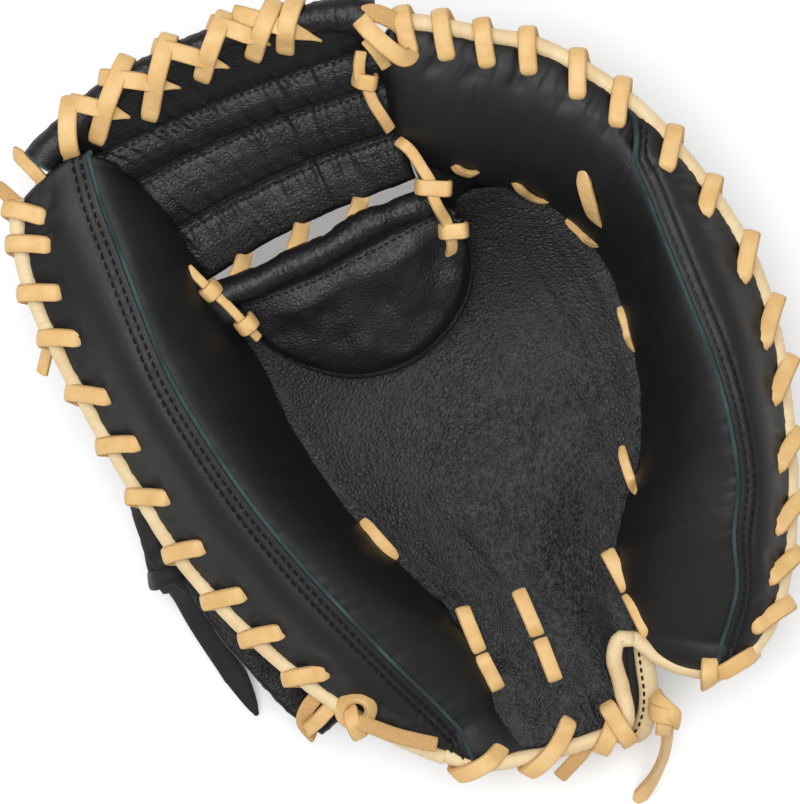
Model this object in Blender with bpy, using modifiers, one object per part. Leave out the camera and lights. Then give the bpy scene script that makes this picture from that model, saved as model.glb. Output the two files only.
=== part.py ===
"""Baseball catcher's mitt for the left hand, lying on its back with the pocket up.

Frame: metres, +Z up, origin on the floor under the middle of the mitt, +Y from the heel to the web,
+X towards the finger side. The thumb half hinges on the finger half along the pocket's break line.
The pieces that cross that line (palm, web, heel, wrist strap) are soft and bend with it.
"""

from math import cos, hypot, pi, sin

import bmesh
import bpy
from mathutils import Vector

# ---- Driving dimensions, in millimetres ---------------------------------------------------------

MM = 0.001
SHIFT = Vector((-13.7, 2.7, -2.9))  # from the guide points' own origin to the middle of the mitt

LEATHER = 2.2  # shell leather
GAP = 0.5  # between neighbouring pieces
PIPING_R = 3.3  # the rolled binding round the rim
LACE_R = 1.25  # half the thickness of the rawhide lace
LACE_W = 6.3  # its width
LACE_TURN_R = PIPING_R + 0.9 + LACE_R  # where the lace's middle runs round the binding
RIM_CLEAR = LACE_TURN_R + LACE_R + 0.6  # the shells stop this far from the rim's centreline
FELT = 7.0  # palm padding
FELT_DROP = 4.4  # from the palm leather's face down to the felt's
LINING_DROP = 13.4  # and down to the lining's
PAD_EDGE = 8.0  # thickness of a crescent's padding at its edges
PAD_SWELL = 20.0  # and how much thicker it is in the middle

BREAK_HEEL = Vector((28.0, -113.0, 48.0))  # the thumb half hinges on the line from the heel notch
BREAK_WEB = Vector((2.0, 100.0, 72.0))  # to the middle of the web, just over the palm's padding
THUMB_HALF = ("thumb_outer", "thumb_wall", "thumb_pad", "thumb_back", "thumb_piping", "thumb_lace",
              "thumb_knot", "pocket_lace_thumb", "pull_strap", "wrist_piping_thumb")

# ---- Ribs: cross-sections of the two padded crescents, from the web to the heel ------------------
# Each rib is (rim, seam on the ridge, crease at the pocket, inner edge of the back shell).

THUMB_RIBS = (
    ((-70, 139, 110), (-56, 128, 116), (-47, 119, 109), (-50, 116, 84)),
    ((-84, 121, 105), (-57, 112, 116), (-41, 100, 94), (-46, 98, 58)),
    ((-92, 98, 98), (-60, 94, 114), (-41, 80, 79), (-43, 82, 34)),
    ((-95, 72, 89), (-64, 71, 111), (-38, 60, 69), (-36, 66, 17)),
    ((-96, 46, 82), (-67, 48, 108), (-36, 40, 61), (-27, 46, 8)),
    ((-96, 18, 76), (-67, 22, 103), (-38, 12, 55), (-22, 20, 4)),
    ((-95, -10, 71), (-65, -6, 96), (-37, -20, 53), (-22, -10, 3)),
    ((-90, -36, 67), (-61, -32, 89), (-32, -42, 52), (-25, -36, 3)),
    ((-82, -62, 63), (-56, -56, 82), (-26, -62, 51), (-32, -60, 4)),
    ((-71, -88, 58), (-50, -82, 72), (-22, -82, 51), (-38, -82, 7)),
    ((-59, -107, 55), (-45, -101, 62), (-24, -103, 50), (-41, -100, 13)),
    ((-50, -119, 52), (-42, -114, 56), (-28, -114, 50), (-42, -112, 20)),
)
FINGER_RIBS = (
    ((58, 122, 117), (55, 117, 117), (48, 104, 102), (47, 108, 84)),
    ((72, 114, 116), (68, 107, 117), (47, 84, 92), (38, 94, 62)),
    ((88, 100, 113), (82, 92, 115), (53, 66, 81), (28, 82, 42)),
    ((103, 84, 110), (95, 76, 113), (65, 54, 71), (18, 72, 27)),
    ((115, 66, 106), (106, 58, 111), (77, 41, 65), (8, 56, 16)),
    ((124, 46, 103), (113, 40, 109), (86, 25, 60), (1, 38, 9)),
    ((129, 24, 99), (113, 24, 110), (89, 8, 57), (-2, 18, 5)),
    ((132, 2, 94), (110, 4, 112), (87, -12, 55), (0, -2, 3)),
    ((132, -20, 90), (107, -18, 111), (82, -27, 54), (8, -18, 3)),
    ((127, -45, 85), (104, -40, 109), (76, -43, 53), (22, -28, 3)),
    ((118, -69, 80), (99, -62, 105), (66, -60, 52), (38, -35, 3)),
    ((107, -93, 75), (91, -84, 98), (52, -73, 52), (54, -42, 4)),
    ((93, -116, 70), (80, -101, 91), (41, -87, 52), (66, -54, 8)),
    ((77, -134, 65), (68, -117, 82), (36, -102, 52), (70, -72, 15)),
    ((62, -142, 61), (55, -130, 70), (35, -116, 54), (66, -96, 25)),
)
SEAM_STARTS = 5  # the finger crescent's outer panel starts at this rib, where the seam leaves the rim

HEEL_RIM = ((-50, -119, 52), (-40, -129, 51), (-25, -135, 50), (-8, -140, 49), (8, -143, 48), (14, -141, 48),
            (18, -130, 49), (21, -119, 52), (26, -114, 53.5))
NOTCH_RIM = ((31, -117, 54), (35, -127, 55), (41, -135, 56), (50, -141, 58.5), (62, -142, 61))

PALM_LEFT = ((-35, 57, 67), (-33, 40, 60), (-35, 12, 54.5), (-34, -20, 52.5), (-29, -42, 51.5), (-23, -62, 51),
             (-19, -82, 50.5), (-20, -103, 50), (-24, -127, 50))
PALM_RIGHT = ((60, 53, 70), (73, 40, 64), (85, 8, 56), (79, -27, 53), (64, -58, 52), (46, -76, 52),
              (37, -90, 52), (29, -103, 51), (7, -134, 49))
PALM_SAG = (2.0, 5.0, 8.0, 8.0, 6.5, 5.0, 3.5, 2.0, 0.5)  # how far each row's middle hangs below its ends

WEB_LEFT = ((-36, 72, 79), (-34, 88, 88), (-34, 105, 99), (-40, 119, 107), (-50, 133, 113))
WEB_RIGHT = ((42, 69, 83), (41, 86, 93), (40, 104, 102), (42, 117, 110), (47, 128, 116))
WEB_BAG = 5.0  # how far the web's middle bags outward, away from the ball
WEB_THICK = 5.0
WEB_TOP = ((-62, 137, 113), (-48, 141, 116), (-30, 142, 117), (-8, 142, 119), (14, 141, 120), (34, 136, 120), (46, 131, 119))

TONGUE_TOP = ((-36, 62, 81), (-22, 59, 83), (-5, 57, 85), (12, 56, 86), (30, 55, 87), (46, 53, 87))
TONGUE_FOOT = ((-33, 46, 64), (-25, 28, 56.5), (-8, 17, 54), (12, 15, 54), (32, 19, 57), (47, 35, 65))


# ---- Curves and surfaces ---------------------------------------------------------------------------

def at(points, where):
    """The point at a place along a smooth curve through the points; where counts in points."""
    last = len(points) - 1
    i = min(int(where), last - 1)
    t = where - i
    p0, p1, p2, p3 = (Vector(points[min(max(k, 0), last)]) for k in (i - 1, i, i + 1, i + 2))
    return 0.5 * (2 * p1 + (p2 - p0) * t + (2 * p0 - 5 * p1 + 4 * p2 - p3) * t**2
                  + (3 * p1 - p0 - 3 * p2 + p3) * t**3)


def spread(first, last, count):
    return [first + (last - first) * k / (count - 1) for k in range(count)]


def evenly(line, count):
    """The line again, as this many points at equal distances along it."""
    along = [0.0]
    for a, b in zip(line, line[1:]):
        along.append(along[-1] + (b - a).length)
    found, i = [], 0
    for target in spread(0.0, along[-1], count):
        while i < len(line) - 2 and along[i + 1] < target:
            i += 1
        share = (target - along[i]) / max(along[i + 1] - along[i], 1e-9)
        found.append(line[i].lerp(line[i + 1], min(share, 1.0)))
    return found


def smooth(points, count):
    return evenly([at(points, w) for w in spread(0, len(points) - 1, 12 * len(points))], count)


def quarter(a, b, steep_first, power=2.0, count=25):
    """A quarter of a superellipse from a to b, which leaves a upright if steep_first, and else level."""
    line = []
    for angle in spread(0, pi / 2, count):
        rise, run = sin(angle) ** (2 / power), 1 - cos(angle) ** (2 / power)
        if not steep_first:
            rise, run = run, rise
        line.append(Vector((a.x + (b.x - a.x) * run, a.y + (b.y - a.y) * run, a.z + (b.z - a.z) * rise)))
    return line


def beyond(line, centre, distance):
    """The part of the line that is further than this from a point."""
    return [p for p in line if (p - centre).length > distance]


def trimmed(line, start, end):
    """The line without this much of its two ends."""
    return beyond(beyond(line, line[0], start), line[-1], end)


def ribs(side, first, last, count):
    """Cross-sections between the given ribs, each as (rim, seam, crease, back)."""
    return [[at([rib[k] for rib in side], where) for k in range(4)] for where in spread(first, last, count)]


def lowered(line, amount):
    return [p - Vector((0, 0, amount)) for p in line]


# ---- Blender objects --------------------------------------------------------------------------------

def clear_scene():
    for obj in list(bpy.data.objects):
        bpy.data.objects.remove(obj, do_unlink=True)
    for collection in list(bpy.data.collections):
        bpy.data.collections.remove(collection)


def material(name, colour, roughness):
    made = bpy.data.materials.new(name)
    made.use_nodes = True
    shader = made.node_tree.nodes["Principled BSDF"]
    shader.inputs["Base Color"].default_value = (*colour, 1.0)
    shader.inputs["Roughness"].default_value = roughness
    shader.inputs["Metallic"].default_value = 0.0
    return made


def place(name, data, look):
    obj = bpy.data.objects.new(name, data)
    obj.data.materials.append(look)
    bpy.data.collections["catchers_mitt"].objects.link(obj)
    return obj


def metres(p):
    return (Vector(p) + SHIFT) * MM


def mesh_of(name, points, faces, look, outward):
    """A mesh object. outward says which way an open sheet faces, or None for a closed mesh."""
    mesh = bpy.data.meshes.new(name)
    mesh.from_pydata([metres(p) for p in points], [], faces)
    mesh.update()
    shape = bmesh.new()
    shape.from_mesh(mesh)
    bmesh.ops.recalc_face_normals(shape, faces=shape.faces)
    if outward is not None:
        total = sum((face.normal * face.calc_area() for face in shape.faces), Vector())
        if total.dot(Vector(outward)) < 0:
            bmesh.ops.reverse_faces(shape, faces=shape.faces)
    shape.to_mesh(mesh)
    shape.free()
    mesh.shade_smooth()
    return place(name, mesh, look)


def grid_faces(rows, columns):
    return [(i * columns + j, i * columns + j + 1, (i + 1) * columns + j + 1, (i + 1) * columns + j)
            for i in range(rows - 1) for j in range(columns - 1)]


def sheet(name, rows, look, outward, thickness=LEATHER):
    """A shell whose outer face runs through the rows of points, thickened inward."""
    points = [p for row in rows for p in row]
    obj = mesh_of(name, points, grid_faces(len(rows), len(rows[0])), look, outward)
    solid = obj.modifiers.new("thickness", "SOLIDIFY")
    solid.thickness = thickness * MM
    solid.offset = -1.0
    return obj


def block(name, loops, look):
    """A closed solid lofted through closed loops of points, with a cap on each end."""
    n = len(loops[0])
    points = [p for loop in loops for p in loop]
    faces = [(i * n + j, i * n + (j + 1) % n, (i + 1) * n + (j + 1) % n, (i + 1) * n + j)
             for i in range(len(loops) - 1) for j in range(n)]
    faces.append(tuple(range(n)))
    faces.append(tuple(range((len(loops) - 1) * n, len(loops) * n)))
    return mesh_of(name, points, faces, look, None)


def tube(name, line, radius, look, resolution=1):
    """A cord along a line of points: a curve object with a round bevel and filled caps."""
    curve = bpy.data.curves.new(name, "CURVE")
    curve.dimensions = "3D"
    curve.bevel_depth = radius * MM
    curve.bevel_resolution = resolution
    curve.use_fill_caps = True
    spline = curve.splines.new("POLY")
    spline.points.add(len(line) - 1)
    for point, p in zip(spline.points, line):
        point.co = (*metres(p), 1.0)
    return place(name, curve, look)


def strap(name, line, width_way, width, thickness, look):
    """A flat strip along a line; width_way(k) gives the direction of its width at point k."""
    loops = []
    for k, p in enumerate(line):
        along = (line[min(k + 1, len(line) - 1)] - line[max(k - 1, 0)]).normalized()
        side = width_way(k)
        side = (side - along * side.dot(along)).normalized()
        up = along.cross(side)
        half, thick = side * width(k) / 2, up * thickness / 2
        loops.append([p - half - thick, p + half - thick, p + half + thick, p - half + thick])
    return block(name, loops, look)


# ---- The two crescents --------------------------------------------------------------------------------

def crescent(prefix, side, seam_starts, last, looks):
    """The leather, padding and back shell of one padded side."""
    leather, felt = looks
    steps = 3 * len(side) // 2
    outer, wall, pad, back = [], [], [], []
    for rim, seam, crease, low in ribs(side, seam_starts, last, steps):
        line = beyond(quarter(rim, seam, True), rim, RIM_CLEAR)
        outer.append(evenly(trimmed(line, 0, GAP), 4))
    for rim, seam, crease, low in ribs(side, 0, last, steps):
        line = beyond(quarter(seam, crease, False, 1.9), rim, RIM_CLEAR)
        wall.append(evenly(trimmed(line, GAP, 3.2), 6))
        line = beyond(quarter(rim, low, True, 2.2), rim, RIM_CLEAR)
        back.append(evenly(line, 6))
    for rim, seam, crease, low in ribs(side, 0, last, steps)[2:-1]:
        pad.append(pad_loop(rim, seam, crease, low))
    sheet(prefix + "_wall", wall, leather, (0, 0, 1))
    sheet(prefix + "_outer", outer, leather, (0, 0, 1))
    sheet(prefix + "_back", back, leather, (0, 0, -1))
    block(prefix + "_pad", pad, felt)


def height_on(line, p):
    """The line's height where it passes over or under a point."""
    return min(line, key=lambda q: hypot(q.x - p.x, q.y - p.y)).z


def pad_loop(rim, seam, crease, low):
    """One section of the padding: under the front leather, and over the hand's space."""
    front = quarter(rim, seam, True)[1:] + quarter(seam, crease, False, 1.9)[1:]
    middle = (rim + seam + crease) / 3
    top = [p + (middle - p).normalized() * (LEATHER + 2.6) for p in front]
    top = evenly([p for p in top if (p - rim).length > RIM_CLEAR + 3 and (p - crease).length > 5.5], 7)
    shell = quarter(rim, low, True, 2.2, 60)
    under = []
    for k, p in enumerate(top):
        depth = PAD_EDGE + PAD_SWELL * sin(pi * k / (len(top) - 1))
        under.append(Vector((p.x, p.y, max(p.z - depth, height_on(shell, p) + LEATHER + 4.5))))
    return top + list(reversed(under))[::2]


def on_palm(where, t):
    """The palm leather's face, where counts rows from the web to the heel and t runs from thumb to fingers."""
    left, right = at(PALM_LEFT, where), at(PALM_RIGHT, where)
    sag = at([(0, 0, s) for s in PALM_SAG], where).z
    return left.lerp(right, t) - Vector((0, 0, sag * (1 - (2 * t - 1) ** 2)))


def palm_rows(rows, columns, inset=0.0, last=8.0, drop=0.0):
    """Rows of points across the pocket, from the web to the heel."""
    made = []
    for where in spread(0, last, rows):
        edge = inset / (at(PALM_RIGHT, where) - at(PALM_LEFT, where)).length
        made.append(lowered([on_palm(where, t) for t in spread(edge, 1 - edge, columns)], drop))
    return made


def build_palm(leather, felt, lining):
    sheet("palm_leather", palm_rows(13, 9), leather, (0, 0, 1))
    loops = [row + lowered(reversed(row), FELT) for row in palm_rows(12, 8, inset=4.0, last=7.5, drop=FELT_DROP)]
    block("palm_felt", loops, felt)
    rows = palm_rows(11, 8, inset=5.0, last=7.8, drop=LINING_DROP)
    sheet("palm_lining", rows, lining, (0, 0, 1), thickness=1.6)


# ---- Web ------------------------------------------------------------------------------------------

def build_web(leather):
    rows = []
    for where in spread(0, len(WEB_LEFT) - 1, 9):
        left, right = at(WEB_LEFT, where), at(WEB_RIGHT, where)
        bag = Vector((0, 0.75, -0.65)) * WEB_BAG
        rows.append([left.lerp(right, t) + bag * (1 - (2 * t - 1) ** 2) for t in spread(0, 1, 11)])
    sheet("web_panel", rows, leather, (0, -1, 1), thickness=WEB_THICK)
    tube("web_top_roll", smooth(WEB_TOP, 16), 3.6, leather, resolution=2)
    rows = []
    for k in spread(0, 1, 11):
        top, foot = at(TONGUE_TOP, k * (len(TONGUE_TOP) - 1)), at(TONGUE_FOOT, k * (len(TONGUE_FOOT) - 1))
        top = top + (foot - top).normalized() * 9.5
        rows.append([top.lerp(foot, t) - Vector((0, 0, 5.0 * sin(pi * t))) for t in spread(0, 1, 7)])
    rows = [[p + Vector((0, 0, 3.8)) for p in row] for row in rows]
    sheet("web_tongue", rows, leather, (0, -1, 1), thickness=3.0)
    tube("web_tongue_roll", smooth(TONGUE_TOP, 12), 4.6, leather, resolution=2)


# ---- Laces ------------------------------------------------------------------------------------------

def winding(line, turns, start=0.0, radius=LACE_TURN_R, steps=6):
    """A helix round a line of points."""
    dense = evenly(line, 40 * turns)
    found = []
    for k in range(turns * steps + 1):
        share = k / (turns * steps)
        i = min(int(share * (len(dense) - 1)), len(dense) - 2)
        p = dense[i].lerp(dense[i + 1], share * (len(dense) - 1) - i)
        along = (dense[min(i + 3, len(dense) - 1)] - dense[max(i - 3, 0)]).normalized()
        up = (Vector((0, 0, 1)) - along * along.z).normalized()
        angle = start + 2 * pi * k / steps
        found.append(p + (up * cos(angle) + along.cross(up) * sin(angle)) * radius)
    return found


def rim_line(points, count, trim=(0.0, 0.0)):
    return evenly(trimmed(smooth(points, 200), *trim), count)


def build_rim(piping, lace):
    thumb = [rib[0] for rib in THUMB_RIBS]
    finger = [rib[0] for rib in FINGER_RIBS]
    for name, points, count, turns in (("thumb", thumb, 30, 15), ("heel", HEEL_RIM, 22, 4),
                                       ("notch", NOTCH_RIM, 10, 0), ("finger", finger, 40, 19)):
        tube(name + "_piping", rim_line(points, count, (0.6, 0.6)), PIPING_R, piping)
        if turns:
            trim = (3.0, 26.0) if name == "heel" else (4.0, 4.0)
            tube(name + "_lace", winding(rim_line(points, 120, trim), turns), LACE_R, lace, resolution=0)
    top = winding(rim_line(WEB_TOP, 60, (4.0, 6.0)), 8, radius=3.6 + 0.9 + LACE_R)
    tube("web_top_lace", top, LACE_R, lace, resolution=0)


# ---- Smaller laces, knots and straps -----------------------------------------------------------------

WEB_LACES = {
    "web_left_lace": ((-40, 70, 75), (-40.5, 80, 81), (-40.5, 98, 93), (-46, 116, 106), (-55, 131, 113)),
    "web_right_lace": ((46, 72, 83), (45.5, 86, 92), (45, 104, 102.5), (46.5, 116, 109.5)),
    "web_gap_lace": ((-32, 68, 82), (-20, 66, 83.5), (-5, 64.5, 85.5), (12, 63.5, 86.5), (28, 62.5, 87.5), (40, 61, 88)),
}
HEEL_STITCHES = (((-19, -75), (-20, -93), (-19, -111)), ((1, -79), (0, -98), (-1, -117)), ((30, -74), (28, -86), (26, -100)))
LINING_EDGE = ((-40, -121, 32), (-26, -129, 32), (-8, -135, 32), (8, -139, 32), (19, -138, 33), (25, -130, 35), (28, -122, 38))
TAIL = ((27, -152.5, 47), (25, -156, 35), (20, -160, 20), (14, -165, 8), (8, -170, 4.6), (2, -175, 4.4))
WRIST_STRAP = ((-30, -92, 10), (-19, -91, 7.5), (-4, -88, 6), (18, -86, 5.5), (40, -84, 8), (60, -82, 14))
PULL_STRAP = ((-91, -1, 29), (-99, 1, 31), (-108, -6, 31), (-109, -18, 27), (-105, -32, 20), (-104, -52, 14), (-104, -76, 9))
WRIST_MIDDLE = (10, -95)


def over_palm(x, y, lift):
    """A point over the palm leather, found by stepping through its rows and across."""
    best = min(((on_palm(w, t)) for w in spread(0, 8, 81) for t in spread(0, 1, 41)),
               key=lambda p: hypot(p.x - x, p.y - y))
    return Vector((x, y, best.z + lift))


def build_small_laces(lace, piping):
    for name, points in WEB_LACES.items():
        tube(name, smooth(points, 9), LACE_R, lace)
    tube("pocket_lace_fingers", smooth([rib[2] for rib in FINGER_RIBS[2:12]], 18), LACE_R, lace)
    tube("pocket_lace_thumb", smooth([rib[2] for rib in THUMB_RIBS[3:9]], 12), LACE_R, lace)
    for number, points in enumerate(HEEL_STITCHES, 1):
        line = [over_palm(p.x, p.y, 1.9) for p in smooth([(x, y, 0) for x, y in points], 7)]
        strap(f"heel_stitch_{number}", line, lambda k: Vector((1, 0, 0)), lambda k: LACE_W, 1.8, lace)
    tube("lining_piping", smooth(LINING_EDGE, 12), 1.8, piping)
    tube("heel_tail", smooth(TAIL, 12), LACE_R, lace)


def knot(name, centre, size, look):
    """A tight knot of lace, as a rounded lump."""
    shape = bmesh.new()
    bmesh.ops.create_icosphere(shape, subdivisions=2, radius=1.0)
    points = [Vector(centre) + Vector((v.co.x * size[0], v.co.y * size[1], v.co.z * size[2])) for v in shape.verts]
    faces = [tuple(v.index for v in face.verts) for face in shape.faces]
    shape.free()
    mesh_of(name, points, faces, look, None)


def build_back(leather, piping):
    strap("wrist_strap", smooth(WRIST_STRAP, 10), lambda k: Vector((0, 1, 0)),
          lambda k: 22 + 4 * sin(pi * k / 9), 3.0, leather)
    strap("pull_strap", smooth(PULL_STRAP, 12), lambda k: Vector((0, 0.35, 1)),
          lambda k: 11 - 0.5 * k if k < 9 else 14 - k, 2.4, leather)
    thumb_edge = [at([rib[3] for rib in THUMB_RIBS], w) for w in spread(7.6, 10.4, 8)]
    finger_edge = [at([rib[3] for rib in FINGER_RIBS], w) for w in spread(9.6, 13.4, 10)]
    for name, edge in (("wrist_piping_thumb", thumb_edge), ("wrist_piping_fingers", finger_edge)):
        ways = [Vector((WRIST_MIDDLE[0] - p.x, WRIST_MIDDLE[1] - p.y, 0)).normalized() for p in edge]
        tube(name, [p + way * 4.3 + Vector((0, 0, 2.4)) for p, way in zip(edge, ways)], 1.8, piping)


def hang_thumb_half():
    """Parents the thumb half to an empty on the break line, whose Y axis runs along it."""
    hinge = bpy.data.objects.new("thumb_hinge", None)
    hinge.location = metres((BREAK_HEEL + BREAK_WEB) / 2)
    hinge.rotation_mode = "QUATERNION"
    hinge.rotation_quaternion = (BREAK_WEB - BREAK_HEEL).to_track_quat("Y", "Z")
    bpy.data.collections["catchers_mitt"].objects.link(hinge)
    bpy.context.view_layer.update()
    for name in THUMB_HALF:
        piece = bpy.data.objects[name]
        piece.parent = hinge
        piece.matrix_parent_inverse = hinge.matrix_world.inverted()


clear_scene()
collection = bpy.data.collections.new("catchers_mitt")
bpy.context.scene.collection.children.link(collection)
BLACK = material("black_leather", (0.018, 0.018, 0.020), 0.5)
CREAM = material("cream_leather", (0.86, 0.66, 0.40), 0.55)
RAWHIDE = material("rawhide_lace", (0.78, 0.50, 0.22), 0.6)
FELT_LOOK = material("wool_felt", (0.45, 0.43, 0.40), 0.95)
LINING = material("tan_lining", (0.55, 0.40, 0.24), 0.8)
crescent("thumb", THUMB_RIBS, 0, len(THUMB_RIBS) - 1.4, (BLACK, FELT_LOOK))
crescent("finger", FINGER_RIBS, SEAM_STARTS + 0.6, len(FINGER_RIBS) - 1.4, (BLACK, FELT_LOOK))
build_palm(BLACK, FELT_LOOK, LINING)
build_web(BLACK)
build_rim(CREAM, RAWHIDE)
build_small_laces(RAWHIDE, CREAM)
build_back(BLACK, CREAM)
knot("thumb_knot", (-80.5, -93, 62), (4.2, 6.5, 4.2), RAWHIDE)
knot("heel_knot", (27, -147.5, 53), (5.0, 6.0, 4.5), RAWHIDE)
hang_thumb_half()
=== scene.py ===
import math

import bpy
import numpy as np
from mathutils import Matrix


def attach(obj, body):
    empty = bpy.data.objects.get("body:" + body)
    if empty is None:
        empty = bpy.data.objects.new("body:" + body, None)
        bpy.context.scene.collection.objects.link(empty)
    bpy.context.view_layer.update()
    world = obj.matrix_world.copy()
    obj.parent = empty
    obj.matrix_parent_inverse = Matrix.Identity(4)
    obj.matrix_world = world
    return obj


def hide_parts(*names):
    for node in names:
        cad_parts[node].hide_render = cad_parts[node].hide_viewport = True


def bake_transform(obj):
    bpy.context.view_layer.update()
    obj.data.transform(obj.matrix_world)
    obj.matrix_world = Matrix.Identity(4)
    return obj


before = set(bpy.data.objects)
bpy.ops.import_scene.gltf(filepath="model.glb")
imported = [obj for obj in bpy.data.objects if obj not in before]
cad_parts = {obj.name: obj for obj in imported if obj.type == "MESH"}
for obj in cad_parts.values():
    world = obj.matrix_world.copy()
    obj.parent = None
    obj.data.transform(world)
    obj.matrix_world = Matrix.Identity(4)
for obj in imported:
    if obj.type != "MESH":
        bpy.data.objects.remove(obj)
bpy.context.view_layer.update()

MM = 0.001
SHIFT = np.array((-13.7, 2.7, -2.9))  # from the guide curves' origin to the frame's
Z = np.array((0.0, 0.0, 1.0))
TURN = 2 * np.pi

# ---- Guide curves of part.py ---------------------------------------------------------------------

# each rib from the web to the heel: rim, seam, crease and the back's lower edge
THUMB_RIBS = (
    ((-80, 128, 107.5), (-53, 128, 115), (-45, 120, 108), (-50, 116, 84)),
    ((-86, 116, 104), (-57, 112, 116), (-40.5, 107, 99), (-46, 98, 58)),
    ((-92, 98, 98), (-60, 94, 114), (-38.5, 87, 88), (-43, 82, 34)),
    ((-95, 72, 89), (-64, 71, 111), (-38, 60, 69), (-36, 66, 17)),
    ((-96, 46, 82), (-67, 48, 108), (-36, 40, 61), (-27, 46, 8)),
    ((-96, 18, 76), (-67, 22, 103), (-38, 12, 55), (-22, 20, 4)),
    ((-95, -10, 71), (-65, -6, 96), (-37, -20, 53), (-22, -10, 3)),
    ((-90, -36, 67), (-61, -32, 89), (-32, -42, 52), (-25, -36, 3)),
    ((-82, -62, 63), (-56, -56, 82), (-26, -62, 51), (-32, -60, 4)),
    ((-71, -88, 58), (-50, -82, 72), (-22, -82, 51), (-38, -82, 7)),
    ((-59, -107, 55), (-45, -101, 62), (-24, -103, 50), (-41, -100, 13)),
    ((-50, -119, 52), (-42, -114, 56), (-28, -114, 50), (-42, -112, 20)),
)
FINGER_RIBS = (
    ((64, 115, 117.5), (60, 111, 118), (52, 101, 107), (47, 106, 84)),
    ((73.5, 109, 116.5), (69, 103, 118), (47, 84, 96), (48, 96, 62)),
    ((87.5, 97, 114), (81, 90, 116), (53, 67, 84), (51, 82, 42)),
    ((103, 84, 110), (95, 76, 113), (65, 54, 71), (53, 66, 27)),
    ((115, 66, 106), (106, 58, 111), (77, 41, 65), (38, 50, 16)),
    ((124, 46, 103), (113, 40, 109), (86, 25, 60), (13, 36, 9)),
    ((129, 24, 99), (113, 24, 110), (89, 8, 57), (-2, 18, 5)),
    ((132, 2, 94), (110, 4, 112), (87, -12, 55), (0, -2, 3)),
    ((132, -20, 90), (107, -18, 111), (82, -27, 54), (8, -18, 3)),
    ((127, -45, 85), (104, -40, 109), (76, -43, 53), (22, -28, 3)),
    ((118, -69, 80), (99, -62, 105), (66, -60, 52), (38, -35, 3)),
    ((107, -93, 75), (91, -84, 98), (52, -73, 52), (54, -42, 4)),
    ((93, -116, 70), (80, -101, 91), (41, -87, 52), (66, -54, 8)),
    ((77, -134, 65), (71.5, -119, 80), (36, -102, 52), (70, -72, 15)),
    ((62, -142, 61), (57.5, -134.5, 68), (35, -116, 54), (66, -96, 25)),
)
HEEL_RIM = ((-50, -119, 52), (-40, -129, 51), (-25, -135, 50), (-8, -140, 49), (8, -143, 48),
            (14, -141, 48), (18, -130, 49), (21, -119, 52), (26, -114, 53.5))
NOTCH_RIM = ((31, -117, 54), (35, -127, 55), (41, -135, 56), (50, -141, 58.5), (62, -142, 61))
PALM_LEFT = ((-35, 57, 67), (-33, 40, 60), (-35, 12, 54.5), (-34, -20, 52.5), (-29, -42, 51.5),
             (-23, -62, 51), (-19, -82, 50.5), (-20, -103, 50), (-24, -127, 50))
PALM_RIGHT = ((60, 53, 70), (73, 40, 64), (85, 8, 56), (79, -27, 53), (64, -58, 52), (46, -76, 52),
              (39, -90, 52), (37, -105, 52), (9, -134, 49))
PALM_SAG = (2, 5, 8, 8, 6.5, 5, 3.5, 2, 0.5)
WEB_LEFT = ((-38.5, 71, 76), (-42, 90, 85), (-48, 109, 94), (-58, 123, 103), (-67, 134, 109))
WEB_RIGHT = ((44, 65, 83), (47, 81, 92), (51, 95, 101), (54.5, 107, 109), (57, 116, 115))
WEB_TOP = ((-69, 134.6, 111), (-57.5, 138.8, 113), (-38, 143, 115), (-19, 143.5, 117), (0, 142, 118.5),
           (20, 138, 119.5), (38, 131.5, 120), (51, 125.5, 119.5), (58, 120.5, 118.5))
TONGUE_TOP = ((-36.2, 64.3, 81), (-20.6, 62.6, 83), (-2, 60.6, 85), (16, 60, 86), (33.8, 58.6, 87),
              (48, 54.8, 87))
TONGUE_FOOT = ((-35, 56, 72), (-32.8, 42.7, 62), (-25.2, 28.8, 56), (-11.7, 16, 54), (5.4, 9.8, 54),
               (22.9, 10.8, 56), (38.8, 18.1, 60), (48.8, 30.2, 66), (51.4, 42.4, 74))

# lace loops, as distances along each rim from its web end
THUMB_LOOPS = (5, 17, 35, 53.5, 76, 98, 119, 143.5, 165, 185, 206.5)
FINGER_LOOPS = (4, 17.5, 32, 48.5, 67.5, 86.5, 111, 134, 159, 184.5, 206.5, 232, 254.5, 274, 293)
HEEL_LOOPS = (11.5, 37)


# ---- Curves and noise ----------------------------------------------------------------------------

def at(points, where):
    """Points on a smooth curve through the given ones; where counts in points."""
    points = np.asarray(points, float)
    last = len(points) - 1
    w = np.clip(np.atleast_1d(np.asarray(where, float)), 0, last)
    i = np.minimum(w.astype(int), last - 1)
    t = (w - i)[:, None]
    a, b, c, d = (points[np.clip(i + k, 0, last)] for k in (-1, 0, 1, 2))
    return 0.5 * (2 * b + (c - a) * t + (2 * a - 5 * b + 4 * c - d) * t**2 + (3 * b - a - 3 * c + d) * t**3)


def lengths(line):
    return np.r_[0, np.cumsum(np.linalg.norm(np.diff(line, axis=0), axis=1))]


def interp(where, known, values):
    """np.interp for points."""
    return np.stack([np.interp(where, known, values[:, k]) for k in range(values.shape[-1])], -1)


def along(line, distances):
    """Points at these distances along a line of points."""
    return interp(distances, lengths(line), line)


def even(line, count):
    return along(line, np.linspace(0, lengths(line)[-1], count))


def smooth(points, count):
    return even(at(points, np.linspace(0, len(points) - 1, 30 * len(points))), count)


def unit(v):
    return v / np.maximum(np.linalg.norm(v, axis=-1, keepdims=True), 1e-9)


def tangents(line):
    return unit(np.gradient(line, axis=0))


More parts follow.
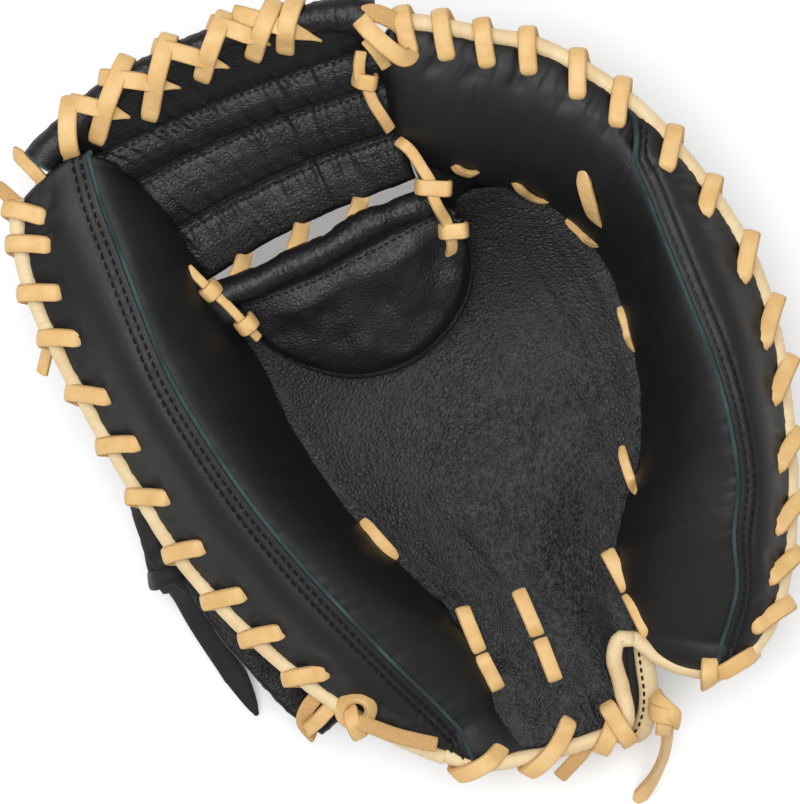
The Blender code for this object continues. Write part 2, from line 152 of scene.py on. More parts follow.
def noise(x, y, seed):
    """Smooth value noise between -1 and 1."""
    size = 97
    table = np.random.default_rng(seed).random((size, size)) * 2 - 1
    x, y = np.broadcast_arrays(np.asarray(x, float), np.asarray(y, float))
    i, j = np.floor(x).astype(int), np.floor(y).astype(int)
    a, b = (t * t * (3 - 2 * t) for t in (x - i, y - j))
    low, high = ([table[(i + p) % size, (j + q) % size] for p in (0, 1)] for q in (0, 1))
    return (low[0] * (1 - a) + low[1] * a) * (1 - b) + (high[0] * (1 - a) + high[1] * a) * b


def layered(x, y, seed):
    return (noise(x, y, seed) + noise(2 * x, 2 * y, seed + 1) / 2) / 1.6


def step(t, lo, hi):
    t = np.clip((t - lo) / (hi - lo), 0, 1)
    return t * t * (3 - 2 * t)


def hump(t, centre, width):
    return np.exp(-((t - centre) / width) ** 2)


# ---- Meshes --------------------------------------------------------------------------------------

def linked(name, data):
    obj = bpy.data.objects.new(name, data)
    bpy.context.scene.collection.objects.link(obj)
    return obj


def mesh_object(name, points, faces, uvs, look):
    """A smooth mesh object from millimetre points, with a uv for each point."""
    mesh = bpy.data.meshes.new(name)
    mesh.from_pydata(((np.asarray(points, float) + SHIFT) * MM).tolist(), [], faces)
    mesh.update()
    index = np.empty(len(mesh.loops), np.int32)
    mesh.loops.foreach_get("vertex_index", index)
    mesh.uv_layers.new(name="UVMap").data.foreach_set("uv", np.asarray(uvs, np.float32)[index].ravel())
    mesh.materials.append(look)
    mesh.shade_smooth()
    return linked(name, mesh)


def apply(obj):
    """Makes the modifiers' result the object's own mesh."""
    graph = bpy.context.evaluated_depsgraph_get()
    mesh = bpy.data.meshes.new_from_object(obj.evaluated_get(graph), depsgraph=graph)
    obj.modifiers.clear()
    old, obj.data = obj.data, mesh
    bpy.data.meshes.remove(old)


def table(u, v):
    """Pairs of every u with every v, row by row."""
    return np.stack(np.meshgrid(u, v, indexing="ij"), 2).reshape(-1, 2)


def quads(rows, columns, start=0, ring=True):
    """Faces between neighbouring rows of points; a ring's last point meets its first one."""
    i, j = np.meshgrid(np.arange(rows - 1), np.arange(columns if ring else columns - 1), indexing="ij")
    a, b = start + i * columns + j, start + i * columns + (j + 1) % columns
    return np.stack([a, b, b + columns, a + columns], -1).reshape(-1, 4)


def grid_normals(grid, outward=None):
    """The directions square to a grid of points, turned to the outer side if that is given."""
    normal = unit(np.cross(*np.gradient(grid, axis=(0, 1))))
    return -normal if outward is not None and (normal * outward).sum(-1).mean() < 0 else normal


def displaced(grid, amount, outward=Z):
    return grid + grid_normals(grid, outward) * amount[..., None]


def slab(name, grid, thickness, look, outward=Z, radius=None):
    """A leather panel with the grid as its outer face, and rounded edges all round."""
    n, m = grid.shape[:2]
    normal = grid_normals(grid, outward)
    across = np.stack([lengths(row) for row in grid])
    down = np.stack([lengths(grid[:, j]) for j in range(m)], 1)
    to_edge = np.minimum(np.minimum(across, across[:, -1:] - across), np.minimum(down, down[-1:] - down))
    round_off = 1 - np.clip(to_edge / (radius or thickness * 0.7), 0, 1)
    half = normal * np.sqrt(1 - round_off**2)[..., None] * thickness / 2
    middle = grid - normal * thickness / 2
    points = np.concatenate([(middle + half).reshape(-1, 3), (middle - half).reshape(-1, 3)])
    turned = (grid_normals(grid) * normal).sum(-1).mean() < 0
    front, back = quads(n, m, 0, False), quads(n, m, n * m, False)
    faces = np.concatenate([front[:, ::-1], back] if turned else [front, back[:, ::-1]])
    uv = table(lengths(grid[:, m // 2]) * MM, lengths(grid[n // 2]) * MM)
    obj = mesh_object(name, points, faces.tolist(), np.concatenate([uv, uv]), look)
    obj.modifiers.new("weld", "WELD").merge_threshold = 0.02 * MM
    apply(obj)
    return obj


def fine(count, edge=(0.0, 0.004, 0.012, 0.025)):
    """Even samples from 0 to 1 with extra ones next to both ends, for the rounded edges."""
    edge = np.array(edge)
    return np.unique(np.concatenate([edge, np.linspace(edge[-1], 1 - edge[-1], count), 1 - edge]))


def strips(name, pairs, look, width=6.3, thickness=2.1, power=3.6, scale=None, sides=20):
    """Flat rounded strips, one for each (line, outer directions); scale(q) narrows them, q up to 1."""
    angle = np.linspace(0, TURN, sides, endpoint=False) + np.pi / sides
    corner = np.stack([np.cos(angle), np.sin(angle)], 1)
    shape = np.sign(corner) * np.abs(corner) ** (2 / power) * (width / 2, thickness / 2)
    cap_size, cap_reach, uv_gap = 0.72, 0.35, 0.07
    points, faces, uvs, start = [], [], [], 0
    for number, (line, up) in enumerate(pairs):
        t, n = tangents(line), len(line)
        u = unit(up - t * (up * t).sum(-1, keepdims=True))
        size = np.ones(n) if scale is None else scale(np.linspace(0, 1, n))
        wide = np.cross(t, u)[:, None] * shape[None, :, :1] * size[:, None, None]
        rings = line[:, None] + wide + u[:, None] * shape[None, :, 1:]
        caps = [rings[end].mean(0) * (1 - cap_size) + rings[end] * cap_size + t[end] * reach
                for end, reach in ((0, -cap_reach), (-1, cap_reach))]
        points.append(np.concatenate([caps[:1], rings, caps[1:]]).reshape(-1, 3))
        last = start + (n + 1) * sides
        faces += quads(n + 2, sides, start)[:, [0, 3, 2, 1]].tolist()
        faces += [list(range(start, start + sides)), list(range(last, last + sides))[::-1]]
        s = lengths(line)
        uvs.append(table(np.r_[0, s, s[-1]] * MM + uv_gap * number, np.linspace(0, 1, sides, endpoint=False)))
        start = last + sides
    return mesh_object(name, np.concatenate(points), faces, np.concatenate(uvs), look)


def tube(name, line, radius, look, sides=18):
    """A round tube. radius(s, angle) is its radius at s millimetres along it."""
    t, n, s = tangents(line), len(line), lengths(line)
    up = unit(Z - t * t[:, 2:])
    a = np.linspace(0, TURN, sides, endpoint=False)
    out = np.cross(t, up)[:, None] * np.cos(a)[None, :, None] + up[:, None] * np.sin(a)[None, :, None]
    rings = line[:, None] + out * np.broadcast_to(radius(s[:, None], a[None]), (n, sides))[..., None]
    points = np.concatenate([rings.reshape(-1, 3), line[:1], line[-1:]])
    end, turn = n * sides, [(j, (j + 1) % sides) for j in range(sides)]
    faces = quads(n, sides).tolist() + [[end, b, a] for a, b in turn]
    faces += [[end + 1, end - sides + a, end - sides + b] for a, b in turn]
    uv = np.concatenate([table(s * MM, a * 3.3 * MM), [(0, 0)], [(s[-1] * MM, 0)]])
    return mesh_object(name, points, faces, uv, look)


def stitches(name, rows, look, pitch=3.5, length=2.7, radius=0.42, lift=0.1):
    """Thread stitches along rows of (points, outer directions)."""
    rings = ((-0.5, 0.0), (-0.46, 0.55), (-0.3, 1.0), (0.0, 1.08), (0.3, 1.0), (0.46, 0.55), (0.5, 0.0))
    sides = 6
    a = np.linspace(0, TURN, sides, endpoint=False)[:, None]
    points, faces = [], []
    for line, normal in rows:
        where = np.arange(pitch / 2, lengths(line)[-1] - pitch / 2, pitch)
        # each stitch's outer direction is the row's own at its place
        ups, ways = unit(along(normal, where)), unit(along(line, where + 0.5) - along(line, where - 0.5))
        for c, way, up in zip(along(line, where), ways, ups):
            faces += quads(len(rings), sides, len(points) * sides).tolist()
            for x, r in rings:
                dive = 0.35 * (2 * abs(x)) ** 3
                out = np.cross(way, up) * np.cos(a) + up * np.sin(a)
                points.append(c + way * x * length + up * (lift - dive) + out * r * radius)
    uv = np.stack([np.repeat([x for x, r in rings], sides), np.tile(a[:, 0] / 6.3, len(rings))], 1)
    return mesh_object(name, np.concatenate(points), faces, np.tile(uv, (len(points) // len(rings), 1)), look)


# ---- Materials -----------------------------------------------------------------------------------

class Look:
    """A node material, built by calling the kinds of node by name."""

    def __init__(self, name):
        self.material = bpy.data.materials.new(name)
        self.material.use_nodes = True
        self.tree = self.material.node_tree
        self.shader = self.tree.nodes["Principled BSDF"]
        places = self.node("TexCoord").outputs
        self.uv, self.place = places["UV"], places["Object"]

    def node(self, kind, inputs=None, **settings):
        made = self.tree.nodes.new("ShaderNode" + kind)
        for key, value in settings.items():
            setattr(made, key, value)
        for key, value in (inputs or {}).items():
            self.put(made.inputs[key], value)
        return made

    def put(self, socket, value):
        if isinstance(value, bpy.types.NodeSocket):
            self.tree.links.new(value, socket)
        elif isinstance(value, tuple) and len(value) == 3 and socket.type == "RGBA":
            socket.default_value = (*value, 1.0)
        else:
            socket.default_value = value

    def math(self, operation, a, b=0.0):
        return self.node("Math", {0: a, 1: b}, operation=operation).outputs[0]

    def plus(self, a, b):
        return self.math("ADD", a, b)

    def times(self, a, b):
        return self.math("MULTIPLY", a, b)

    def mix(self, factor, a, b):
        return self.node("Mix", {0: factor, 6: a, 7: b}, data_type="RGBA").outputs[2]

    def ramp(self, value, lo, hi, a=0.0, b=1.0):
        return self.node("MapRange", {0: value, 1: lo, 2: hi, 3: a, 4: b},
                         interpolation_type="SMOOTHSTEP").outputs[0]

    def noise(self, where, scale, detail=3.0, rough=0.5, distortion=0.0):
        return self.node("TexNoise", {"Vector": where, "Scale": scale, "Detail": detail, "Roughness": rough,
                                      "Distortion": distortion}).outputs["Fac"]

    def cells(self, where, scale, randomness=1.0):
        """The distance to the edges between pebbles."""
        return self.node("TexVoronoi", {"Vector": where, "Scale": scale, "Randomness": randomness},
                         feature="DISTANCE_TO_EDGE").outputs["Distance"]

    def stretched(self, where, scale):
        return self.node("Mapping", {"Vector": where, "Scale": scale}).outputs[0]

    def bump(self, height, distance, under=None):
        made = self.node("Bump", {"Height": height, "Distance": distance, "Strength": 1.0})
        if under is not None:
            self.put(made.inputs["Normal"], under)
        return made.outputs[0]

    def finish(self, slot, **inputs):
        """The material, with these inputs set on its shader. slot is not used."""
        for key, value in inputs.items():
            self.put(self.shader.inputs[key.replace("_", " ")], value)
        return self.material


def shade(colour, factor):
    return tuple(min(float(c), 0.9) for c in np.multiply(colour, factor))


def black_leather(name, grain, depth, gloss, wrinkle, wrinkle_way, shine, dark, light):
    """Dyed leather: pebbles of this size in millimetres, and wrinkles. Its colour has random tone, lighter on the
    pebbles' high spots and darker in the valleys between them: painted highlight and painted shade in the grain.
    """
    k = Look(name)
    drift = k.noise(k.uv, 180.0, 2.0)
    drift = k.node("CombineXYZ", {0: k.times(drift, 0.0016), 1: k.times(drift, -0.0014)}).outputs[0]
    where = k.node("VectorMath", {0: k.uv, 1: drift}, operation="ADD").outputs[0]
    pebble = k.ramp(k.cells(where, 1000.0 / grain, 0.95), -0.12, 0.62)
    small = k.ramp(k.cells(where, 2300.0 / grain), 0.0, 0.4)
    relief = k.times(pebble, k.ramp(k.noise(k.uv, 26.0), 0.3, 0.7, 0.6, 1.0))
    relief = k.plus(k.plus(relief, k.times(small, 0.10)), k.times(k.noise(k.uv, 2600.0, 1.0), 0.03))
    folds = k.noise(k.stretched(where, wrinkle_way), 240.0, 2.0, 0.5, 0.3)
    normal = k.bump(k.ramp(folds, 0.35, 0.65), wrinkle * MM, under=k.bump(relief, depth * MM))
    # painted shade in the grain's valleys and painted highlight on the pebbles' tops: the colour follows the pebble
    # relief, times random noise for real tone
    tone = k.times(k.noise(k.uv, 60.0, 4.0, 0.6), relief)
    rough = k.plus(k.times(k.noise(k.uv, 90.0), 0.16),
                   k.math("SUBTRACT", 1.02 - gloss, k.times(relief, 0.05)))
    return k.finish("black_leather", Base_Color=k.mix(k.ramp(tone, 0.3, 0.95), dark, light), Roughness=rough,
                    Normal=normal, Specular_IOR_Level=shine)


def rawhide(name, top, edge):
    """Flat lace: a smooth face, and rough fibrous edges and back. V of the uv map goes round the section."""
    k = Look(name)
    v = k.node("SeparateXYZ", {0: k.uv}).outputs[1]
    face = k.ramp(k.math("ABSOLUTE", k.math("SUBTRACT", v, 0.25)), 0.125, 0.165, 1.0, 0.0)
    not_face = k.math("SUBTRACT", 1.0, face)
    fibre = k.noise(k.place, 2300.0, 4.0, 0.7)
    mottle = k.noise(k.place, 130.0, 4.0, 0.6)
    streak = k.noise(k.stretched(k.uv, (60.0, 9.0, 1.0)), 1.0)
    smooth_side = k.mix(k.ramp(mottle, 0.3, 0.75), top, shade(top, (0.90, 0.80, 0.66)))
    smooth_side = k.mix(k.ramp(streak, 0.45, 0.8, 0.0, 0.35), smooth_side, shade(top, 0.86))
    rough_side = k.mix(k.ramp(fibre, 0.38, 0.62), edge, shade(edge, 1.35))
    height = k.plus(k.times(not_face, fibre), k.times(k.noise(k.place, 3200.0, 2.0), 0.12))
    crease = k.noise(k.stretched(k.uv, (420.0, 3.0, 1.0)), 1.0, 2.0)
    rough = k.plus(k.times(not_face, 0.35), k.ramp(mottle, 0.2, 0.8, 0.44, 0.56))
    return k.finish("rawhide", Base_Color=k.mix(face, rough_side, smooth_side), Roughness=rough,
                    Normal=k.bump(crease, 0.25 * MM, under=k.bump(height, 0.4 * MM)), Specular_IOR_Level=0.35,
                    Subsurface_Weight=0.04, Subsurface_Radius=(0.002, 0.0012, 0.0006), Subsurface_Scale=1.0)


def binding_leather(name, light, dark):
    """Thin rolled leather with small folds across it."""
    k = Look(name)
    mottle = k.noise(k.place, 95.0, 4.0, 0.6)
    crossways = k.noise(k.stretched(k.uv, (700.0, 120.0, 1.0)), 1.0, 3.0, 0.6)
    colour = k.mix(k.ramp(mottle, 0.3, 0.75), light, dark)
    colour = k.mix(k.ramp(crossways, 0.55, 0.85, 0.0, 0.5), colour, shade(dark, 0.8))
    grain = k.bump(k.ramp(k.cells(k.place, 1500.0), 0.0, 0.3), 0.06 * MM)
    return k.finish("pale_leather", Base_Color=colour, Roughness=k.ramp(mottle, 0.2, 0.8, 0.42, 0.58),
                    Normal=k.bump(crossways, 0.35 * MM, under=grain), Specular_IOR_Level=0.4,
                    Subsurface_Weight=0.04, Subsurface_Radius=(0.002, 0.0014, 0.0008), Subsurface_Scale=1.0)


def suede(name, slot, light, dark, fuzz):
    """Leather's rough side, or felt."""
    k = Look(name)
    nap = k.noise(k.place, 1900.0, 4.0, 0.7)
    colour = k.mix(k.ramp(k.noise(k.place, 45.0, 4.0, 0.6), 0.3, 0.7), light, dark)
    colour = k.mix(k.ramp(nap, 0.35, 0.65, 0.0, 0.45), colour, shade(dark, 0.6))
    return k.finish(slot, Base_Color=colour, Roughness=0.92, Normal=k.bump(nap, 0.3 * MM),
                    Specular_IOR_Level=0.2,
                    Sheen_Weight=fuzz, Sheen_Roughness=0.5)


def thread(name, colour):
    k = Look(name)
    ply = k.node("TexWave", {"Vector": k.stretched(k.uv, (9.0, 22.0, 1.0)), "Scale": 1.0, "Distortion": 0.4})
    tone = k.mix(k.noise(k.place, 3000.0, 2.0), colour, shade(colour, 1.7))
    return k.finish("black_leather", Base_Color=tone, Roughness=0.55,
                    Normal=k.bump(ply.outputs["Fac"], 0.2 * MM),
                    Specular_IOR_Level=0.5)


SMOOTH = black_leather("black_leather_smooth", 1.0, 0.06, 0.52, 0.04, (1.0, 1.0, 1.0), 0.52,
                       (0.0045, 0.0047, 0.0054), (0.0125, 0.0130, 0.0148))
PEBBLE = black_leather("black_leather_pebbled", 1.6, 0.35, 0.57, 0.03, (0.8, 0.5, 1.0), 0.42,
                       (0.0020, 0.0021, 0.0025), (0.0170, 0.0180, 0.0205))
WEBBING = black_leather("black_leather_web", 1.6, 0.30, 0.60, 0.03, (1.6, 0.45, 1.0), 0.52,
                        (0.0042, 0.0044, 0.0050), (0.0130, 0.0136, 0.0155))
LACE = rawhide("rawhide_lace", (0.80, 0.535, 0.235), (0.57, 0.345, 0.14))
CREAM = binding_leather("pale_binding_leather", (0.86, 0.69, 0.42), (0.78, 0.57, 0.31))
RAW = suede("teal_raw_edge", "black_leather", (0.066, 0.116, 0.120), (0.022, 0.040, 0.044), 0.1)
LINING = suede("tan_suede_lining", "tan_lining", (0.50, 0.36, 0.22), (0.40, 0.28, 0.17), 0.3)
FELT = suede("wool_felt", "wool_felt", (0.47, 0.44, 0.39), (0.38, 0.36, 0.33), 0.5)
THREAD = thread("black_thread", (0.008, 0.008, 0.009))
GREY_THREAD = thread("grey_thread", (0.026, 0.027, 0.030))


def belongs(piece, body, *nodes, fill=None):
    """Attaches the piece to its body's empty, or with no body bakes its transform into its mesh, and hides the CAD
    nodes it stands for. fill is not used.
    """
    if body:
        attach(piece, body)
    else:
        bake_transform(piece)
    if nodes:
        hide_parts(*nodes)


def lacing(name, pairs, body, *nodes, **shape):
    """Laces as one piece."""
    belongs(strips(name, pairs, LACE, **shape), body, *nodes)


# ---- Panels as grids of points -------------------------------------------------------------------

def guides(side, count, last):
    """The rim, seam, crease and back edge at even steps of the rim's length."""
    where = np.linspace(0, last, 60 * len(side))
    s = lengths(at([rib[0] for rib in side], where))
    where = np.interp(np.linspace(0, s[-1], count), s, where)
    return where, [at([rib[k] for rib in side], where) for k in range(4)]


def section(start, end, *pulls, count=60):
    """A bezier section between two guide curves. A pull is its share of the level and of the upright way."""
    way = end - start
    a, b, c, d = (p[:, None] for p in (start, *(start + way * (level, level, rise) for level, rise in pulls),
                                       end))
    t = np.linspace(0, 1, count)[None, :, None]
    return (1 - t) ** 3 * a + 3 * (1 - t) ** 2 * t * b + 3 * (1 - t) * t * t * c + t**3 * d


def run_on(rows, back, more):
    """Rows carried straight on past their ends by these millimetres."""
    way = unit(rows[:, -1:] - rows[:, -1 - back:-back])
    return np.concatenate([rows, rows[:, -1:] + way * np.array(more)[None, :, None]], 1)


EDGE_IN = 2.0  # how far in from the rim a laced panel starts
HOLES_IN = 14.5  # how far in from the rim the lace holes of a padded side lie


def trimmed(rows, shares):
    """Each row again at these shares of its length, starting a little in from the rim."""
    return np.stack([along(row, EDGE_IN + shares * (lengths(row)[-1] - EDGE_IN)) for row in rows])


def spans(rows):
    return np.stack([lengths(row) for row in rows])


def capped(grid, chord, outward, reach, rows=7):
    """Rounds off a crescent's first end: more rows that sink to the chord while they move outward."""
    edge, (low, high) = grid[0], chord
    share = np.clip(((edge - low) @ (high - low)) / ((high - low) @ (high - low)), 0, 1)[:, None]
    level = low + share * (high - low) - Z * 3
    swell = np.sin(np.pi * np.clip(0.12 + 0.80 * share, 0, 1)) ** 0.8
    made = [level + (edge - level) * np.cos(a) + outward * reach * swell * np.sin(a)
            for a in np.linspace(np.pi / 2, 0, rows + 1)[:-1]]
    return np.concatenate([made, grid])


def closed_end(grid, goal, rows=14):
    """Carries a crescent's last section on until it comes down on a binding."""
    made = [grid[-1] + (goal - grid[-1]) * (np.sin(a), np.sin(a), 1 - np.cos(a))
            for a in np.linspace(0, np.pi / 2, rows + 1)[1:]]
    return np.concatenate([grid, made])


def between(s, loops):
    """0 at each loop and 1 halfway between two."""
    loops = np.asarray(loops, float)
    edges = np.r_[2 * loops[0] - loops[1], loops, 2 * loops[-1] - loops[-2]]
    i = np.clip(np.searchsorted(edges, s) - 1, 0, len(edges) - 2)
    return np.sin(np.pi * np.clip((s - edges[i]) / (edges[i + 1] - edges[i]), 0, 1))


def laced_edge(s, d, loops, hole, seed, puff=1.1):
    """A panel's edge at the lacing: puffed between the loops, dimpled at the holes, with fanning wrinkles."""
    shape = puff * (between(s, loops) ** 0.8 - 0.45) * hump(d, 4.5, 4.5)
    for k in loops:
        shape = shape - 0.9 * np.exp(-((s - k) ** 2 + (d - hole) ** 2) / 3.4**2)
    fan = noise(s / 1.4 + 0.25 * noise(s / 9, d / 6, seed + 1) * d / 3, d / 14, seed)
    return shape + 0.45 * fan * hump(d, 7.5, 8)


def pick(rows, measure, wanted):
    """On each row of points, the place where its measure has the wanted value."""
    return np.array([interp(w, q, row)
                     for row, q, w in zip(rows, measure, np.broadcast_to(wanted, len(rows)))])


def sewn(grid, outward, measure, wanted, inset, count):
    """A row for stitches, where the measure has the wanted value."""
    return tuple(even(pick(g, measure, wanted)[inset:-inset], count)
                 for g in (grid, grid_normals(grid, outward)))


# ---- Laces ---------------------------------------------------------------------------------------

def direction(heading):
    """A level direction. Heading 0 runs from the thumb's rim straight into the pocket."""
    angle = np.radians(heading - 30)
    return np.array((np.cos(angle), np.sin(angle), 0.0))


def laid(points, ups, count=40):
    """A smooth line through a few points for a strip, with its outer direction given at each of them."""
    ups = np.broadcast_to(np.asarray(ups, float), np.asarray(points, float).shape)
    w = np.linspace(0, len(points) - 1, 160)
    line = at(points, w)
    s = lengths(line)
    where = np.linspace(0, s[-1], count)
    return interp(where, s, line), interp(where, s, at(ups, w))


def upright(grid, p, way, lo, hi, sideways=False):
    """Fits how a panel runs in the upright plane through p along way: height over distance, or the reverse."""
    q = grid.reshape(-1, 3) - p
    x, off, z = q @ way, q @ np.cross(Z, way), q[:, 2]
    on, over, degree = (z, x, 2) if sideways else (x, z, 3)
    near = (np.abs(off) < 1.6) & (on > lo) & (on < hi) & (np.abs(z) < 26) & (np.abs(x) < 26)
    return np.polyfit(on[near], over[near], degree)


def slope_at(fit, where):
    return np.polyval(fit, where), np.polyval(np.polyder(fit), where)


def lace_loop(rim, s, heading, front, back=None, reach=10.4, radius=4.9, bow=0.9, drift=0.0, lift=1.25,
              deep=8.5,
              slant=0.55, count=44):
    """Line and outer directions of a lace that leaves a hole, turns round an edge and goes in again behind."""
    p, q = along(rim, [s, s + 0.5])
    t, way = unit(q - p), direction(heading)
    crossing = max(np.linalg.norm(np.cross(way, unit(t * (1, 1, 0)))), 0.42)
    reach = reach / crossing if crossing < 0.75 else reach
    fit = upright(front, p, way, 1.5, reach + 4)
    z, dz = slope_at(fit, reach)
    hole, n, f = np.array((reach, z)), unit(np.array((-dz, 1.0))), unit(np.array((1.0, dz)))
    start = [hole + n * high + f * far for high, far in ((-2.6, 0.2), (-0.8, 0.2), (0.7, -0.5), (lift, -1.9))]
    end, n, f = np.array(((4.5, -5.0), (0.0, -1.0), (-1.0, 0.0)))
    if back is not None:
        x, dx = slope_at(upright(back, p, way, -14.0, -2.0, True), -deep)
        end, n, f = np.array((x, -deep)), unit(np.array((-1.0, dx))), unit(np.array((dx, 1.0)))
    finish = [end + n * high + f * far for high, far in ((lift, 1.9), (0.7, 0.5), (-0.8, -0.2), (-2.6, -0.2))]
    size = np.array((radius / crossing, radius))

    def touch(point, turn):
        scaled = point / size
        far = max(np.linalg.norm(scaled), 1.0005)
        return np.arctan2(scaled[1], scaled[0]) + turn * np.arccos(1 / far)
    a, b = touch(start[-1], 1), touch(finish[0], -1)
    b += TURN * (b < a)
    arc = [np.array((np.cos(w), np.sin(w))) * size for w in np.linspace(a, b, 12)]
    on_way = [start[-1] + (arc[0] - start[-1]) * k for k in (0.33, 0.67)]
    for point in on_way:
        z, dz = slope_at(fit, point[0])
        point[1] = max(point[1], z + lift * np.hypot(1, dz))
    route = np.array(start + on_way + arc + finish)
    route = even(at(route, np.linspace(0, len(route) - 1, 260)), count)
    turns = np.gradient(route, axis=0)
    bend = bow * (1 - ((route[:, 0] - reach / 4) / (reach * 0.75 + radius)) ** 2)
    aside = drift * step(np.linspace(0, 1, count), slant, 1.0) - bend
    return (p + way * route[:, :1] + Z * route[:, 1:] + t * aside[:, None],
            unit(way * turns[:, 1:] - Z * turns[:, :1]))


def rounded_start(q):
    return 0.66 + 0.34 * np.sqrt(np.clip((q - 0.035) / 0.07, 0, 1))


# ---- The two padded sides ------------------------------------------------------------------------

SEAM_ROWS = (2.9, 6.1)  # the stitch rows' distances from the outer panel's cut edge
BACK_GROOVES = (0.36, 0.68)  # the sewn grooves of the back, as shares of its length
COUNT = 330


def crescent(prefix, side, last, loops, headings, seed, seam_from, body, goal, reach, corner, insets, bare):
    """One padded side: outer panel, inner wall, raw seam edge, stitching, back shell, binding and lacing."""
    where, (rim, seam, crease, low) = guides(side, COUNT, last)
    covered = step(where, seam_from, seam_from + 0.9)[:, None]
    s = lengths(rim)
    outward = unit(rim[0] - rim[6])
    chord = (rim[0] - outward * corner, crease[0])
    outer_rows = section(rim, seam, (0.28, 0.5), (0.62, 1.04))

    def cut_corner(grid, amount, ss, share):
        """Displaces a panel and moves the rim's corner of its first end back along the rim."""
        cut = corner * (1 - step(share, 0.0, 0.42)) * (1 - step(ss, 0.0, 22.0))
        return displaced(grid, amount) - outward * cut[..., None]

    # the wall, which runs on under the outer panel
    wall_rows = section(seam, crease, (0.42, 0.06), (0.86, 0.52))
    full = run_on(np.concatenate([outer_rows, wall_rows[:, 1:]], 1), 3, (1.5, 3.0, 4.5))
    grid, full_spans = trimmed(full, fine(62)), spans(full)
    total, ridge = full_spans[:, -1:], full_spans[:, 59:60]
    d = spans(grid) + EDGE_IN
    ss = s[:, None] + 0 * d
    amount = -2.6 * step(ridge - d, -0.5, 3.0) * covered - 0.9 * covered * step(ridge - d, -6.0, 0.5)
    amount += (1 - covered) * laced_edge(ss, d, loops, HOLES_IN, seed)
    amount += 0.9 * layered(ss / 34, d / 26, seed + 5) * step(d, 8, 20)
    amount += 0.22 * noise(ss / 3.2, d / 16, seed + 7) * hump(d - ridge, 4, 7) * covered
    folds = noise(ss / 5.0 + 0.3 * noise(d / 12, ss / 20, seed + 8), d / 30, seed + 9)
    amount += 0.35 * folds * step(d, ridge + 6, ridge + 24)
    creases = noise(ss / 2.4 + 0.5 * noise(d / 9, ss / 14, seed + 16), d / 22, seed + 15)
    amount += (1 - covered) * 0.20 * creases * step(d, 12, 18) * step(ridge + 45 - d, 0, 25)
    wall = cut_corner(grid, amount, ss, d / total)
    whole = closed_end(capped(wall, chord, outward, reach), goal(d[-1] / total[-1]))
    belongs(slab(prefix + "_inner_wall", whole, 2.0, SMOOTH), body, prefix + "_wall", fill=0.8)

    # the outer panel, whose raw edge lies on the wall along the ridge
    first = int(np.argmax(covered[:, 0] > 0.02))
    shares = np.clip(covered, 0.05, 1)[:, 0]
    grid = np.stack([along(row, EDGE_IN + fine(44) * (lengths(row)[-1] - 1.5 + 1.4 * c - EDGE_IN) * max(c, 0.12))
                     for row, c in zip(run_on(outer_rows, 2, (0.7, 1.5)), shares)])[first:]
    d = spans(grid) + EDGE_IN
    left = d[:, -1:] - d
    ss = s[first:, None] + 0 * d
    amount = laced_edge(ss, d, loops, HOLES_IN, seed) * step(left, 1.0, 6.0)
    amount += 0.6 * layered(ss / 40, d / 22, seed + 11) * step(left, 3, 12) * step(d, 6, 14)
    for back in SEAM_ROWS:
        amount -= 0.55 * hump(left, back, 0.9)
    amount += 0.10 * noise(ss / 1.8, left / 5, seed + 12) * hump(left, 4.5, 3)
    amount += 0.35 + 0.8 * hump(left, 13, 7) * covered[first:]
    grid = cut_corner(grid, amount, ss, d / total[first:])
    front = np.concatenate([wall[:first, :grid.shape[1]], grid])
    outer = closed_end(grid, goal(d[-1] / total[-1]))
    if first == 0:
        outer = capped(outer, chord, outward, reach + 0.4)
    belongs(slab(prefix + "_outer_panel", outer, 1.7, SMOOTH), body, prefix + "_outer", fill=0.9)
    outer = outer[4:] if first == 0 else outer
    normal = grid_normals(outer, Z)[:-3]
    outer = outer[:-3]

    # raw edge of the cut leather, and the two rows of stitches beside it
    raw_at = outer[:, -1] - normal[:, -1] * 0.55 + unit(outer[:, -1] - outer[:, -4]) * 0.35
    raw = [(even(raw_at, 260), even(normal[:, -1], 260))]
    belongs(strips(prefix + "_raw_edge", raw, RAW, width=1.45, thickness=2.0, power=3.0, sides=10), body)
    q, rows = spans(outer), []
    for back in SEAM_ROWS:
        wide = q[:, -1] > back + 2
        rows.append(tuple(pick(g[wide], q[wide], q[wide, -1] - back) for g in (outer, normal)))
    belongs(stitches(prefix + "_seam_stitches", rows, THREAD, radius=0.48, lift=0.42), body)

    # the back shell, kept clear of the floor
    angle, power = np.linspace(0, np.pi / 2, 60)[None, :, None], 2 / 2.2
    ways = np.concatenate([1 - np.cos(angle) ** power] * 2 + [np.sin(angle) ** power], 2)
    grid = trimmed(rim[:, None] + (low - rim)[:, None] * ways, fine(46))
    d = spans(grid) + EDGE_IN
    ss = s[:, None] + 0 * d
    amount = laced_edge(ss, d, np.asarray(loops) + 4, 9.0, seed + 20)
    amount += 0.7 * layered(ss / 36, d / 30, seed + 21) * step(d, 8, 20)
    for groove in BACK_GROOVES:
        amount -= 0.9 * hump(ss, groove * s[-1], 1.6) * step(d, 9, 16)
    grid = displaced(grid, np.minimum(amount, 1.2), -Z)
    grid[..., 2] = np.maximum(grid[..., 2], 3.1)
    piece = slab(prefix + "_back_shell", grid, 2.2, PEBBLE, -Z)
    for vertex in piece.data.vertices:
        vertex.co.z = max(vertex.co.z, 0.2 * MM)
    belongs(piece, body, prefix + "_back", fill=0.5)
    normal = grid_normals(grid, -Z)
    rows = [int(np.argmin(np.abs(s / s[-1] - groove))) + int(round(shift / (s[-1] / COUNT)))
            for groove in BACK_GROOVES for shift in (-1.7, 1.7)]
    rows = [(grid[i, 12:], normal[i, 12:]) for i in rows]
    belongs(stitches(prefix + "_back_stitches", rows, THREAD, lift=0.2), body)

    # binding and lacing
    aside = unit(np.cross(tangents(rim), Z))
    aside = aside * np.sign((aside * (rim - seam)).sum(-1).mean())

